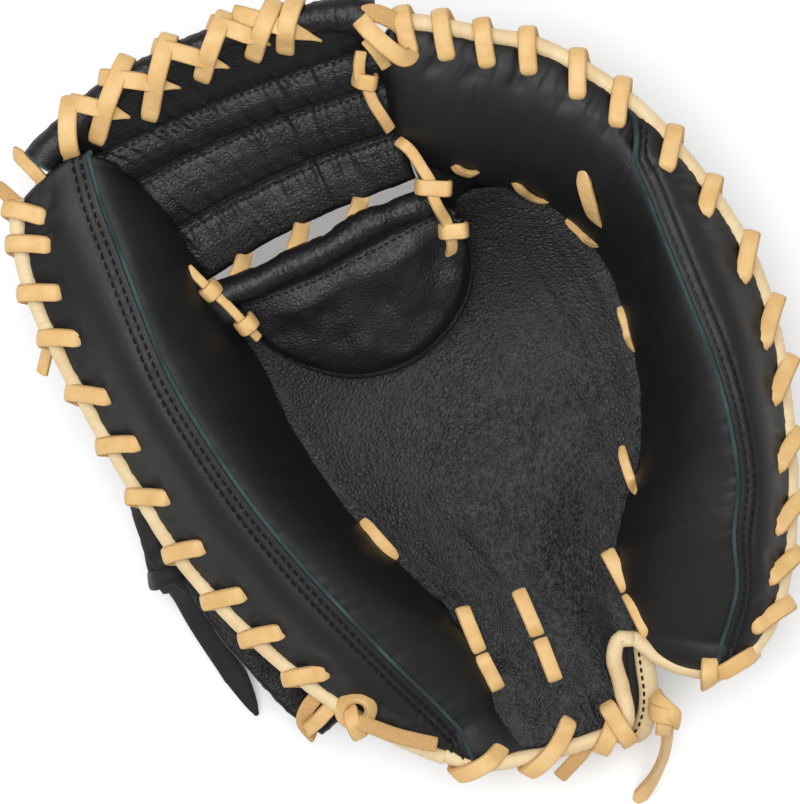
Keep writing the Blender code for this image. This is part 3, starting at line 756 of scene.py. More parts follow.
    def radius(q, a):
        pinch = hump(q, np.array(loops, float)[None], 2.6).sum(1)[:, None]
        return 3.0 - 0.3 * pinch + 0.10 * noise(q / 4.0, a, seed + 30) + 0.12 * noise(q / 17.0, a * 0, seed + 31)
    belongs(tube(prefix + "_binding", even(rim + aside * bare, 420), radius, CREAM), body, prefix + "_piping")
    pairs = [lace_loop(rim, q, heading, front, grid, drift=3.0 + np.sin(k * 2.1),
                       reach=inset + 0.4 * np.sin(k * 1.7),
                       bow=0.9 + 0.5 * np.sin(k * 2.9), radius=5.0 + 0.15 * np.sin(k * 1.3))
             for k, (q, heading, inset) in enumerate(zip(loops, headings, insets))]
    lacing(prefix + "_rim_lacing", pairs, body, prefix + "_lace", width=6.4, thickness=2.6, power=2.5,
           scale=rounded_start)
    return wall, grid


def toward(points, last, power=1.0):
    """A binding as the goal of a crescent's end: share 0 goes to its start, share 1 to this distance along it."""
    line = smooth(points, 200)
    return lambda share: along(line, last * np.clip(share, 0, 1) ** power) + Z * 0.6


THUMB_HEADINGS = (-14, -3, 0, -2, -8, 4, -2, 13, 13, 13, 10)
FINGER_HEADINGS = (-78, -81, -82, -88, -91, -99, -104, -107, -103, -107, -115, -123, -130, -139, -146)
FINGER_INSETS = (10.4, 10.4, 10.4, 10.4, 10.4, 10.2, 9.0, 7.5, 5.2, 4.6, 4.4, 4.4, 4.6, 5.0, 5.6)
thumb_wall, thumb_back = crescent(
    "thumb", THUMB_RIBS, 11, THUMB_LOOPS, THUMB_HEADINGS, seed=11, seam_from=-2.0, body="thumb_side",
    goal=toward(HEEL_RIM, 34, 1.2), reach=7.8, corner=4.5, insets=[8.6] * 11, bare=0.9)
finger_wall, finger_back = crescent(
    "finger", FINGER_RIBS, 14, FINGER_LOOPS, FINGER_HEADINGS, seed=41, seam_from=4.7, body="finger_side",
    goal=toward(NOTCH_RIM[::-1], 44), reach=3.5, corner=0.0, insets=FINGER_INSETS, bare=0.3)


# ---- The palm: columns of points from the heel binding to the web --------------------------------

def on_palm(where, t):
    left, right = at(PALM_LEFT, where), at(PALM_RIGHT, where)
    sag = np.interp(where, np.arange(len(PALM_SAG)), PALM_SAG)
    t = t[:, None]
    return left + (right - left) * t - Z * sag * np.clip(1 - (2 * t - 1) ** 2, 0, 1)


heel_rim = smooth(HEEL_RIM, 300)
columns = np.linspace(-0.02, 1.02, 150)
wider = 0.5 + (columns - 0.5) * 1.10
upper = np.stack([on_palm(w, columns if w < 1 else wider) for w in (-0.5, 0, 1, 2, 3, 4, 5, 5.8)], 1)
upper[:, 0, 2] -= 7.0 * step(columns, 0.45, 0.85)
foot = np.concatenate([heel_rim[:-1], smooth(NOTCH_RIM, 60)[1:18]])
foot = along(foot, np.linspace(0.5, lengths(foot)[-1] - 0.5, len(columns)))
turn = upper[:, -1] + (foot - upper[:, -1]) * 0.55 + Z * 0.5
control = np.concatenate([upper, turn[:, None], foot[:, None]], 1)[:, ::-1]
grid = np.stack([even(at(c, np.linspace(0, len(c) - 1, 240)), 210) for c in control])
grid = trimmed(grid, fine(200, (0.0, 0.002, 0.006, 0.012)))
d = spans(grid) + EDGE_IN
ss = lengths(foot)[:, None] + 0 * d
x, y = grid[..., 0], grid[..., 1]
amount = laced_edge(ss, d, HEEL_LOOPS + (62, 75), 10.0, 71, puff=1.4) * step(105 - ss, 0, 20)
amount += 1.0 * layered(x / 30, y / 42, 72) * step(d, 12, 40)
folds = noise(x / 5.5 + 0.6 * noise(x / 20, y / 25, 74), y / 30, 73)
amount += 0.55 * folds * step(d, 5, 25) * step(120 - d, 0, 60)
amount += 0.24 * noise(x / 2.6 + y / 9, y / 7, 75) * step(110 - d, 0, 50) + 0.05 * layered(x / 2.4, y / 2.9, 76)
creases = noise(x / 2.0 + 0.5 * noise(y / 14, x / 10, 78), y / 16, 77)
amount += 0.16 * creases * step(x, 38, 60) * step(y, -85, -55)
amount -= 1.8 * (1 - step(ss, 28, 38)) * step(40 - d, 0, 10)
palm = displaced(grid, amount)
belongs(slab("palm_face", palm, 2.2, PEBBLE), None, "palm_leather", fill=0.6)


def on_top(x, y, *grids):
    """The highest of these panels at a place seen from above, and its outer direction there."""
    found = []
    for grid, normal in grids:
        k = int(np.argmin((grid[..., 0] - x) ** 2 + (grid[..., 1] - y) ** 2))
        found.append((grid.reshape(-1, 3)[k, 2], normal.reshape(-1, 3)[k]))
    return max(found, key=lambda place: place[0])


# ---- The web: columns of points from its top roll to the gap over the pocket ---------------------

WEB_SEAMS = (1.05, 2.2, 3.3)
WEB_PITCH = 17.0
WEB_OUT = np.array((0, -1, 1))


def on_web(where, t):
    left, right = at(WEB_LEFT, where), at(WEB_RIGHT, where)
    t = t[:, None]
    return left + (right - left) * t + np.array((0, 0.75, -0.65)) * 5.0 * (1 - (2 * t - 1) ** 2)


columns = np.linspace(0, 1, 190)
top = smooth(WEB_TOP, 200)
top = along(top, columns * lengths(top)[-1] * 0.97 + 2.0)
control = np.stack([top + (0, -1.5, 2.5)] + [on_web(w, columns) for w in (3.7, 3, 2, 1, 0.35, 0)], 1)
levels = np.array((4.55, 3.7, 3, 2, 1, 0.35, 0))
grid, level = [], []
for c in control:
    w = np.linspace(0, len(c) - 1, 240)
    line = at(c, w)
    s = lengths(line)
    q = fine(140) * s[-1]
    grid.append(along(line, q))
    level.append(np.interp(np.interp(q, s, w), np.arange(len(levels)), levels))
grid, level = np.array(grid), np.array(level)
d = spans(grid)
across = lengths(grid[:, 70])[:, None] + 0 * d
to_seam = np.min(np.abs(level[..., None] - np.array(WEB_SEAMS)), -1) * WEB_PITCH
amount = 0.9 * layered(across / 24, d / 20, 81)
amount += 2.5 * np.clip(to_seam / 7.5, 0, 1) ** 0.6 - 1.6 - 0.5 * hump(to_seam, 1.5, 0.75)
cross = noise(across / 2.3 + 0.8 * noise(d / 9, across / 15, 83), d / 13, 82)
fine_cross = noise(across / 1.3 + 0.5 * noise(d / 5, across / 9, 85), d / 6, 84)
amount += cross * (0.28 + 0.42 * hump(to_seam, 3.0, 3.5)) + fine_cross * (0.05 + 0.20 * hump(to_seam, 1.5, 2.5))
amount -= 1.2 * hump(np.minimum(across, across[-1:] - across), 0, 5.0)
web = displaced(grid, amount, WEB_OUT)
web_normal = grid_normals(web, WEB_OUT)
belongs(slab("web_front", web, 5.0, WEBBING, WEB_OUT, radius=3.0), None, "web_panel", fill=0.7)
rows = [sewn(web, WEB_OUT, -level, -(seam + shift / WEB_PITCH), 4, 160)
        for seam in WEB_SEAMS for shift in (-1.5, 1.5)]
belongs(stitches("web_stitches", rows, GREY_THREAD, pitch=2.7, length=2.0, radius=0.40, lift=0.30), None)


def rolled(base, seed, pinches, swell=0.35):
    """The radius of rolled leather, wrinkled, and pinched where laces hold it."""
    def radius(q, a):
        pinch = hump(q, np.array(pinches, float)[None], 4.0).sum(1)[:, None]
        ring = noise(q / 2.0 + 0.5 * noise(a * 1.5, q / 8, seed + 2), a * 0.8, seed)
        return base + 0.30 * ring + swell * noise(q / 14.0, a * 0.7, seed + 1) - 0.6 * pinch
    return radius


# each: distance along the roll, heading, how far in it starts, and the bow of those that go over
WEB_OVER = ((20.6, -88, 11.0, 2.6), (39.5, -111, 11.4, 0.8), (58.6, -105, 14.6, 0.6), (79.0, -111, 14.6, 0.6),
            (97.0, -112, 12.2, 0.6), (107.4, -101, 10.6, 2.8))
WEB_UNDER = ((28.6, -14, 13.0), (44.7, -7, 10.3), (65.0, -15, 10.5), (86.0, -20, 7.0), (97.5, -17, 8.6))
top_line = smooth(WEB_TOP, 150)
roll = along(top_line, np.linspace(2.5, lengths(top_line)[-1] - 0.5, 330))
wavy = rolled(0.0, 91, [loop[0] for loop in WEB_OVER])


def top_radius(q, a):
    return 4.8 + 1.3 * hump(q, 0, 14) + 1.9 * hump(q, q.max(), 20) + wavy(q, a)


belongs(tube("web_top_edge", roll, top_radius, WEBBING, 26), None, "web_top_roll")
cut_edges = []
for end, radius in ((roll[:2], 5.4), (roll[:-3:-1], 6.0)):
    way = unit(end[0] - end[1])
    aside = unit(np.cross(way, Z))
    w = np.linspace(0, TURN, 60)[:, None]
    out = aside * np.cos(w) + np.cross(aside, way) * np.sin(w)
    ring = end[0] + way * 0.1 + out * radius
    cut_edges.append((ring, unit(ring - ring.mean(0))))
belongs(strips("web_roll_cut_edges", cut_edges, RAW, width=1.2, thickness=1.5, sides=10), None)

behind_web = web - web_normal * 5.4
pairs = [lace_loop(top_line, q, heading, web, behind_web, reach=reach, radius=5.8, bow=0.0, lift=1.2,
                   deep=9.0)
         for q, heading, reach in WEB_UNDER]
lacing("web_under_lacing", pairs, None, scale=lambda q: 0.15 + 0.85 * step(q, 0.03, 0.24))
pairs = [lace_loop(top_line, q, heading, web, behind_web, reach=reach, radius=7.0, bow=bow, lift=2.0,
                   deep=9.5)
         for q, heading, reach, bow in WEB_OVER]
lacing("web_top_lacing", pairs, None, "web_top_lace", width=6.6, thickness=2.3,
       scale=lambda q: 0.75 + 0.25 * step(q, 0.02, 0.12))


# ---- The padded tongue under the gap -------------------------------------------------------------

TONGUE_OUT = np.array((0, -0.5, 1))
head, foot = smooth(TONGUE_TOP, 170), smooth(TONGUE_FOOT, 170)
foot = even(np.concatenate([head[:1] * 0.2 + foot[:1] * 0.8, foot, head[-1:] * 0.2 + foot[-1:] * 0.8]), 170)
middle = [head + (foot - head) * v + Z * (3.6 * step(v, 0, 0.25) * (1 - step(v, 0.85, 1)) - 4.2 * np.sin(np.pi * v))
          for v in (0.25, 0.5, 0.75)]
control = np.stack([head + Z] + middle + [foot + Z * 0.2], 1)
lines = [at(c, np.linspace(0, 4, 160)) for c in control]
grid = np.stack([along(line, fine(100) * lengths(line)[-1]) for line in lines])
d = spans(grid)
left = d[:, -1:] - d
across = lengths(grid[:, 30])[:, None] + 0 * d
x, y = grid[..., 0], grid[..., 1]
amount = 2.7 * layered(x / 13, y / 12, 101) * step(d, 9, 18) * step(left, 1, 9)
amount += 2.2 * step(left, 0.5, 9) * step(d, 9, 18) * step(np.minimum(across, across[-1:] - across), 0, 8)
amount -= 1.1 * hump(d, 9.0, 2.6) + 0.5 * hump(left, 2.6, 0.9)
cross = noise(across / 2.2 + 0.6 * noise(d / 7, across / 12, 104), d / 9, 103)
amount += 0.35 * cross * hump(d, 9.0, 5.0) + 0.12 * layered(x / 3.4, y / 3.0, 105) * step(d, 8, 14)
tongue = displaced(grid, amount, TONGUE_OUT)
belongs(slab("web_tongue_pillow", tongue, 2.2, WEBBING, TONGUE_OUT), None, "web_tongue", fill=0.5)
rows = [sewn(tongue, TONGUE_OUT, d, wanted, 3, 150) for wanted in (7.7, 10.6, d[:, -1] - 2.6)]
belongs(stitches("web_tongue_stitches", rows, GREY_THREAD, pitch=2.7, length=2.0, radius=0.38, lift=0.28),
        None)
tongue_line = smooth(TONGUE_TOP, 200)
edge_line = even(tongue_line, 260)
edge_end, edge_radius = lengths(edge_line)[-1], rolled(5.5, 111, (20, 44, 66), 0.9)


def tongue_radius(q, a):
    return edge_radius(q, a) * (1 - 0.45 * step(q, edge_end - 10, edge_end))


belongs(tube("web_tongue_edge", edge_line, tongue_radius, WEBBING, 26), None, "web_tongue_roll")


# ---- Small laces round the web and across its gap ------------------------------------------------

web_length = lengths(web[:, 0])
gap_laces = []
for share, sway in ((0.22, 0.6), (0.5, 0.9), (0.77, 0.9)):
    place = np.interp(web_length[-1] * (share - 0.01), web_length, np.arange(len(web)))
    i, f = int(place), place % 1
    row, up = (g[i] * (1 - f) + g[i + 1] * f for g in (web, web_normal))
    reach, known = lengths(web[int((len(web) - 1) * share)])[-1] - 1.0, lengths(row)
    a, n = interp(reach, known, row), unit(interp(reach, known, up))
    b = tongue_line[int(np.argmin(np.abs((tongue_line - a) @ np.cross(Z, direction(-100)))))] + (sway, 0, 0)
    under = a - n * 2.5
    halfway = (under + b + (sway, 3.0, 1.5)) / 2
    gap_laces.append(laid([a - n * 3 + (0, 3, 0), under, halfway, b + (0, 3.2, 0.5), b + (0, 1, -1)],
                          [n, n, (0, -0.2, 1), (0, 0.2, 1), (0, 0.5, 1)]))
lacing("web_gap_lacing", gap_laces, None, "web_gap_lace", width=6.2, thickness=1.9)
left_lace = laid([(-41.3, 78.6, 89), (-39.1, 70.4, 88), (-36.2, 61.5, 86.5), (-34, 52, 84), (-32.4, 45, 79)],
                 (0.3, -0.2, 1))
right_laces = [
    laid([(52.5, 114.4, 121), (53.5, 109.3, 119), (54.2, 103.6, 113)], (-0.1, -0.4, 1)),
    laid([(49.1, 112.1, 116), (46.1, 108.4, 114.5), (44, 104.2, 112)], (0, -0.5, 1)),
    laid([(46.5, 104, 108), (44.8, 99.9, 110.5), (44.2, 94.7, 108), (44.6, 89.1, 104.5), (44.9, 84.8, 99)],
         (0.2, -0.6, 1)),
    laid([(45.6, 80, 93), (46.6, 77.5, 95.5), (47.4, 75, 95), (47.8, 71.5, 94), (48, 66.2, 93),
          (48.1, 62.1, 93),
          (46.5, 57.3, 92.8), (46, 52.8, 91), (46.2, 47.2, 84.5), (44.9, 41.5, 79.5), (43.7, 38.6, 76.5),
          (41.6, 36.3, 72)], (0.2, -0.3, 1), 70),
]
lacing("web_left_lacing", [left_lace], None, "web_left_lace", width=3.4, thickness=1.9)
lacing("web_right_lacing", right_laces, None, "web_right_lace", width=4.2, thickness=1.9)


def band(centre, heading, up, reach, high=1.6):
    """A short lace band that goes over something and dives in on both sides."""
    w, u = direction(heading), unit(np.array(up, float))
    half = ((reach, -2.4), (reach - 0.3, -0.4), (reach - 1.6, high))
    places = [(-far, rise) for far, rise in half] + [(0, high)] + list(half[::-1])
    return laid([np.array(centre) + w * far + u * rise for far, rise in places], u)


bands = [band((45.6, 102.7, 112), -10, (0, -0.5, 1), 3.6), band((48.2, 59.5, 92.5), -3, (0, -0.2, 1), 5.8),
         band((47.1, 43.1, 82), 4, (0, -0.2, 1), 4.6), band((-38.3, 67.5, 88), 45, (0, -0.3, 1), 3.0),
         band((-33.4, 50.9, 84.5), 38, (0, -0.3, 1), 3.2)]
lacing("web_lace_bands", bands, None, width=5.8, thickness=2.0)

# the laces at the web's two upper corners, and the leather corner that closes the pocket beside the tongue
corner = [
    laid([(-73, 142.5, 106), (-72.1, 140.3, 110.5), (-70.3, 133.9, 112.5), (-68.8, 125.3, 108)],
         (-0.5, 0, 1)),
    laid([(-84.5, 135.5, 106.5), (-83.5, 133.8, 107.5), (-81.7, 128.3, 108), (-79.3, 121.7, 104)],
         (-0.4, 0.2, -1)),
]
lacing("web_corner_lacing_thumb", corner, "thumb_side", width=5.2)
corner = [
    laid([(52.5, 124.5, 121), (54.1, 122.7, 124), (59.4, 120.8, 124.5), (64.1, 115.2, 122), (66, 111, 118)],
         (0, -0.1, -1)),
    laid([(53, 124.5, 119), (54, 121.1, 124.5), (55, 115.2, 126.5), (57.5, 107.9, 125), (60.4, 102.6, 122),
          (63.9, 102.4, 119), (65.6, 106.5, 117)],
         [(-0.3, 0.6, 0.8), (-0.2, 0.2, 1), Z, (0, -0.1, 1), (0.1, -0.4, 1), (0.5, -0.5, 0.8),
          (0.8, 0, 0.6)]),
]
lacing("web_corner_lacing_fingers", corner, "finger_side", width=6.4, thickness=2.2,
       scale=lambda q: 0.8 + 0.2 * step(q, 0.0, 0.2))
inner = smooth(((47, 88, 82), (46.5, 72, 81.5), (44.9, 56.6, 76), (40.4, 40.5, 57)), 40)
outer = smooth(((58, 90, 84), (64.1, 72.8, 75), (68.7, 57.3, 67), (68.6, 38.7, 46)), 40)
patch = inner[:, None] + (outer - inner)[:, None] * np.linspace(0, 1, 30)[None, :, None]
x, y = patch[..., 0], patch[..., 1]
patch = displaced(patch, 0.8 * layered(x / 12, y / 14, 181) + 0.08 * layered(x / 2.6, y / 2.6, 182))
belongs(slab("pocket_corner", patch, 2.0, PEBBLE), None)


# ---- The heel: binding, lacing, stitches in the palm ---------------------------------------------

def heel_radius(q, a):
    pinch = sum(hump(q, loop, 3) for loop in HEEL_LOOPS)
    return 2.9 + 0.12 * noise(q / 4.0, a, 121) + 0.12 * noise(q / 15.0, a * 0, 122) - 0.4 * pinch


heel_line = even(heel_rim, 240)
bound = np.concatenate([heel_line, [NOTCH_RIM[0]]])
belongs(tube("heel_binding", bound, heel_radius, CREAM), None, "heel_piping")
bound = even(np.concatenate([heel_line[-3:-1], smooth(NOTCH_RIM, 120)]), 130)
piece = tube("notch_binding", bound, lambda q, a: 2.8 + 0.1 * noise(q / 4, a, 123), CREAM)
belongs(piece, "finger_side", "notch_piping")
pairs = [lace_loop(heel_rim, q, heading, palm, reach=reach, radius=5.4, bow=-3.4, drift=-9.0, slant=0.30)
         for q, heading, reach in zip(HEEL_LOOPS, (42, 58), (12.5, 9.8))]
pairs += [lace_loop(heel_rim, 60.0, 70, palm, reach=9.5, bow=-2.0),
          lace_loop(heel_rim, 67.5, 122, palm, reach=10.0, radius=6.4, lift=2.6)]
lacing("heel_lacing", pairs, None, "heel_lace", width=6.6, thickness=2.3, scale=rounded_start)

# each stitch lace shows twice: from one hole to the next, seen from above
HEEL_STITCHES = ((((-17.8, -75.8), (-20.3, -93.3)), ((-20.5, -94.4), (-21.2, -108.7))),
                 (((3, -80.7), (0.9, -98.8)), ((1, -100.1), (-1.6, -116.3))),
                 (((38.1, -84.5), (37.4, -100.1)), ((37, -101.5), (35.8, -118.8))))
STITCH_SHAPE = ((0, -2.2), (0.06, 0), (0.18, 1.1), (0.35, 1.35), (0.5, 1.4), (0.65, 1.35), (0.82, 1.1),
                (0.94, 0),
                (1, -2.2))
palm_skin = (palm, grid_normals(palm, Z))
for number, shown in enumerate(HEEL_STITCHES, 1):
    pairs = []
    for start, end in np.array(shown):
        places = [(*(start + (end - start) * share), rise) for share, rise in STITCH_SHAPE]
        found = [on_top(x, y, palm_skin) for x, y, rise in places]
        pairs.append(laid([(x, y, z + rise) for (x, y, rise), (z, up) in zip(places, found)],
                          [up * 0.4 + Z * 0.6 for z, up in found]))
    lacing(f"heel_stitch_lace_{number}", pairs, None, f"heel_stitch_{number}", width=5.7, thickness=2.0)

# behind the notch: the hand opening's own wide binding with its stitches, and a piece of lining
opening = smooth(((-44, -118, 34), (-34, -128, 33), (-14, -136, 33), (4, -143, 34.5), (14.3, -148.4, 38),
                  (20.2, -145.3, 40), (25.3, -138.3, 42.5), (29.2, -129, 44.5), (32.4, -121, 46.5)), 180)
piece = strips("opening_binding", [(opening, (0.25, 0, 1))], CREAM, width=7.4, thickness=5.0, power=2.4,
               sides=26)
belongs(piece, None, "lining_piping")
v, w = np.meshgrid(np.linspace(0, 1, 24), np.linspace(0, 1, 16), indexing="ij")
slot = np.stack([25 - 12 * v + 6 * w, -114 - 26 * v - 6 * w, 40 - 3 * v + 1.5 * np.sin(5 * w)], 2)
belongs(slab("opening_lining", slot, 1.8, SMOOTH), None)
row = opening[118:178] + direction(180) * 2.0 + Z * 3.0
belongs(stitches("opening_stitches", [(row, Z + 0 * row)], THREAD, pitch=3.0, length=2.0), None)


# ---- Laces in the crease, knots and straps -------------------------------------------------------

def lens_width(q):
    return np.clip(1.2 * np.sqrt(np.clip(1 - (2.1 * q - 1.05) ** 2, 0.02, 1)), 0, 1)


def lens(wall, x, y, way, reach, turned=False, lift=1.2, depth=3.0):
    """A lace that shows for a short way between two holes, at a place seen from above."""
    points, ups = [], []
    way = unit(np.array(way))
    half = ((1, -depth), (0.85, -0.8), (0.5, lift * 0.7))
    for share, rise in [(-share, rise) for share, rise in half] + [(0, lift)] + list(half[::-1]):
        x1, y1 = (x, y) + way * reach * share
        z, up = on_top(x1, y1, (wall, grid_normals(wall, Z)), palm_skin)
        points.append((x1, y1, z) + up * rise)
        ups.append(-up if turned else up)
    return laid(points, ups)


# each: where its middle is, its way, how far it reaches both ways, and whether its rough side shows
THUMB_LENSES = ((-31.5, -39.5, (0.19, -0.98), 10.5),)
FINGER_LENSES = ((78, 41.5, (0.53, -0.85), 8, True), (87.5, 20, (0.31, -0.95), 8, True),
                 (84.5, -18.5, (-0.21, -0.98), 9.6), (59.5, -62.5, (-0.26, -0.97), 9.6),
                 (61.5, 60, (0.7, -0.7), 5, True))
WALL_LENSES = ((94.3, 28.5, (-0.17, -0.98), 11),)
for name, lenses, wall, body, nodes, width in (
        ("thumb", THUMB_LENSES, thumb_wall, "thumb_side", ("pocket_lace_thumb",), 4.6),
        ("fingers", FINGER_LENSES, finger_wall, "finger_side", ("pocket_lace_fingers",), 3.8),
        ("wall", WALL_LENSES, finger_wall, "finger_side", (), 6.0)):
    lacing("pocket_lacing_" + name, [lens(wall, *q) for q in lenses], body, *nodes, width=width,
           scale=lens_width)


def knotted(centre, x, y, turns, ups):
    """A lace's turn in a knot, given along the knot's own directions."""
    axes = np.array((x, y, Z))
    return laid(centre + np.array(turns) @ axes, np.array(ups) @ axes)


# the knot on the thumb's rim: a ring of lace, a turn through it, its end along the binding, and two stubs
knot_at, x, y = np.array((-69.3, -88.2, 61.5)), direction(25), direction(115)
angle = np.linspace(-0.6, TURN + 0.2, 60)[:, None]
ring = knot_at + x * 5.5 * np.cos(angle) + y * 4.9 * np.sin(angle)
ring_up = unit(ring - knot_at) * 0.66 + Z * 0.75
ring = ring + Z * (2.6 + 3.4 * np.cos(angle - 0.44))
pairs = [
    (ring, ring_up),
    knotted(knot_at, x, y, [(-1, 1, -2.5), (-1.5, 1.2, 2.5), (-2.6, -2, 5.2), (-3, -5.6, 5),
                            (-2.8, -9.2, 1.5),
                            (-2.4, -9, -4)], [(-1, 0, 0), (-0.4, 0, 0.8), Z, Z, (0, -1, 0.5), (0, -1, 0)]),
    laid([(-72, -90, 63), (-70.5, -92.2, 66.5), (-66.4, -97.1, 66), (-60.3, -104.3, 64.2),
          (-50.6, -113.6, 61.5)],
         (-0.2, -0.1, -1)),
    laid([(-74, -84, 56), (-77.4, -83.3, 57.5), (-83.8, -85.2, 55), (-90, -86.4, 49)], (-0.4, -0.3, 1)),
    laid([(-80, -77.5, 55), (-84.8, -79.5, 54.5), (-88.7, -83.3, 51), (-88.2, -89.8, 45)], (-0.6, -0.2, -1)),
]
lacing("thumb_rim_knot", pairs, "thumb_side", "thumb_knot", width=5.6, thickness=2.2)
stub = laid([(-93, 85, 84), (-95.8, 82.5, 82), (-100.3, 78.2, 78), (-105.7, 73, 74)], (-0.5, 0.3, 1))
lacing("thumb_rim_stub", [stub], "thumb_side", width=4.8)

# the knot at the heel, and the lace's free end that hangs from it down to the floor
knot_at, x, y = np.array((26.7, -146.3, 56.0)), direction(0), direction(90)
pairs = [
    knotted(knot_at, x, y, [(-5, 3, -5), (-4.6, 1, 0.5), (-2.2, 0, 3.2), (1.4, -0.6, 3.4), (4.3, -1, 0.8),
                            (4.2, -1, -5)],
            [(-1, 0, 0), (-1, 0, 0.6), (-0.3, 0, 1), (0.3, 0, 1), (1, 0, 0.5), (1, 0, 0)]),
    knotted(knot_at, x, y, [(-3.5, 7, -3), (-2.6, 5, 0.5), (0, 2.6, 3), (3, -0.2, 3.2), (4.4, -3, 0)],
            [(-0.5, 0, 1), (-0.3, 0, 1), Z, (0.4, 0, 1), (1, 0, 0.4)]),
    knotted(knot_at, x, y, [(0, -1.5, -1), (-0.6, -4, 0.4), (-0.6, -7, -3.5)], [Z, Z, (0, -1, 1)]),
]
lacing("heel_end_knot", pairs, "finger_side", "heel_knot", width=6.0)
pairs = [
    laid([(51.6, -134.9, 60), (50.7, -135.7, 64.5), (48.7, -138.2, 66.5), (46.8, -141.2, 66.5),
          (45.3, -144.1, 62),
          (45.6, -144.9, 54), (46.8, -143.9, 49)],
         [(0, 0.3, 1), (0, 0.3, 1), Z, (0, -0.2, 1), (0, -1, 0.3), (0, -1, -0.3), (0, -0.6, -1)]),
    laid([(47.6, -144.1, 57), (50.1, -142.5, 63.5), (53.7, -142.3, 66.5), (58.6, -142.1, 67.5),
          (63.4, -142.1, 66),
          (67.1, -141.8, 60)], (0.1, -0.2, 1)),
]
lacing("notch_lacing", pairs, "finger_side", width=6.2, scale=rounded_start)
cut_end = laid([(0.5, -139, 44.5), (-5.3, -143.5, 45.5), (-11.2, -145.7, 45), (-17.9, -147.9, 42.5)],
               (0.1, 0.3, -1))
lacing("heel_cut_lace", [cut_end], None, width=5.4)
TAIL = ((25.5, -150.5, 51), (22.3, -156, 46), (17.8, -162, 35), (12, -167.5, 21), (6.5, -171.3, 11),
        (2, -173.5, 7.2))
TAIL_WIDTH = 6.3
tail = even(smooth(TAIL, 200), 36)
tail_up = laid([(0.3, -0.9, 0.5), (0.5, -1, 0.6), (0.4, -1, 0.9), (0.2, -0.5, 1), Z, Z], Z, 36)[0]
piece = strips("heel_lace_end", [(tail, tail_up)], LACE, width=TAIL_WIDTH,
               scale=lambda q: 0.92 * np.clip(np.sqrt((1 - q) / 0.05), 0.55, 1))
belongs(piece, "finger_side", "heel_tail")

# wrist strap and pull strap
strap = smooth(((-30, -92, 10), (-19, -91, 7.5), (-4, -88, 6), (18, -86, 5.5), (40, -84, 8), (60, -82, 14)),
               60)
belongs(strips("wrist_band", [(strap, -Z)], PEBBLE, 24, 3.2, 6, sides=40), None, "wrist_strap")
PULL_STRAP = ((-107.8, -10, 32), (-105.8, -19.2, 26), (-105.6, -30.7, 20), (-104.9, -43.9, 16),
              (-104.2, -59.6, 12),
              (-104.7, -74.4, 8.5))
STRAP_UPS = ((-0.5, 0.2, 0.9), (-0.5, -0.1, 0.9), (-0.4, 0, 1), (-0.3, 0, 1), (-0.2, 0, 1), (-0.2, 0, 1))
strap, strap_up = laid(PULL_STRAP, STRAP_UPS, 60)


def strap_width(q):
    return 0.85 + 0.15 * step(q, 0.2, 0.5)


piece = strips("pull_strap_leather", [(strap, strap_up)], SMOOTH, 8.6, 2.2, 5,
               scale=lambda q: strap_width(q) * np.clip(np.sqrt(np.clip((1 - q) / 0.22, 0, 1)), 0.2, 1))
belongs(piece, "thumb_side", "pull_strap")
aside = unit(np.cross(tangents(strap), strap_up)) * strap_width(np.linspace(0, 1, 60))[:, None] * 4.3
edges = [((strap + aside * side)[:46], strap_up[:46]) for side in (-1, 1)]
belongs(strips("pull_strap_cut_edges", edges, RAW, width=0.7, thickness=1.5, sides=8), "thumb_side")


def on_thumb_back(points, sink):
    """The places on the thumb's back shell nearest to these points, this far under its surface."""
    surface, normal = thumb_back.reshape(-1, 3), grid_normals(thumb_back, -Z).reshape(-1, 3)
    nearest = [int(np.argmin(((surface - point) ** 2).sum(1))) for point in np.asarray(points, float)]
    return surface[nearest] - normal[nearest] * sink


roots = on_thumb_back([(-90, 17, 24), (-90, 6, 22), (-90, -8, 25)], 3.0)
folds = [
    laid([roots[0], (-94, 19, 25), (-101.5, 17, 27), (-102.7, 14.6, 30), (-103.7, 8.9, 33.5),
          (-105.2, 0.1, 35.5),
          (-108.2, -9, 33), (-108, -18, 27)], (-0.4, 0, 1)),
    laid([roots[1], (-93, 7.5, 23), (-99.5, 6, 26), (-104.5, 3.3, 32), (-105.5, -5.7, 36.5),
          (-102.8, -14, 36),
          (-100.5, -20.5, 30)], (-0.1, 0.2, 1)),
    laid([roots[2], (-92, -7, 27), (-98, -8, 30), (-103, -12, 37.5), (-110, -12, 36), (-112.5, -11, 29)],
         (-0.3, 0.1, 1)),
]
piece = strips("pull_strap_knot", folds, SMOOTH, 7.4, 2.4, 3, scale=lambda q: 0.75 + 0.25 * step(q, 0.1, 0.5))
belongs(piece, "thumb_side")

# the leather behind the thumb's lower rim, part of the back, and the bound edges of the hand's opening
outer_line = smooth(((-101.5, -6, 33), (-102.3, -20, 37), (-101.6, -34, 40), (-100.2, -46.1, 41),
                     (-97.9, -56.6, 40),
                     (-95.4, -68.6, 38), (-92.6, -79.5, 36), (-86.4, -91.9, 34)), 70)
inner_line = smooth(((-90.5, -6, 30), (-89, -20, 34), (-87.2, -34, 36), (-84, -48, 34), (-80, -60.7, 30),
                     (-76.8, -74, 26), (-71.8, -85.2, 22), (-66.4, -94.4, 20)), 70)
inner_line = smooth(on_thumb_back(inner_line, 1.0)[::6], 70)
share = np.linspace(0, 1, 26)[None, :, None]
flap = inner_line[:, None] + (outer_line - inner_line)[:, None] * share + Z * 2.5 * np.sin(np.pi * share) ** 0.8
flap = displaced(flap, 0.35 * layered(flap[..., 0] / 3.0, flap[..., 1] / 3.0, 191))
belongs(slab("thumb_back_flap", flap, 3.0, PEBBLE), "thumb_side")
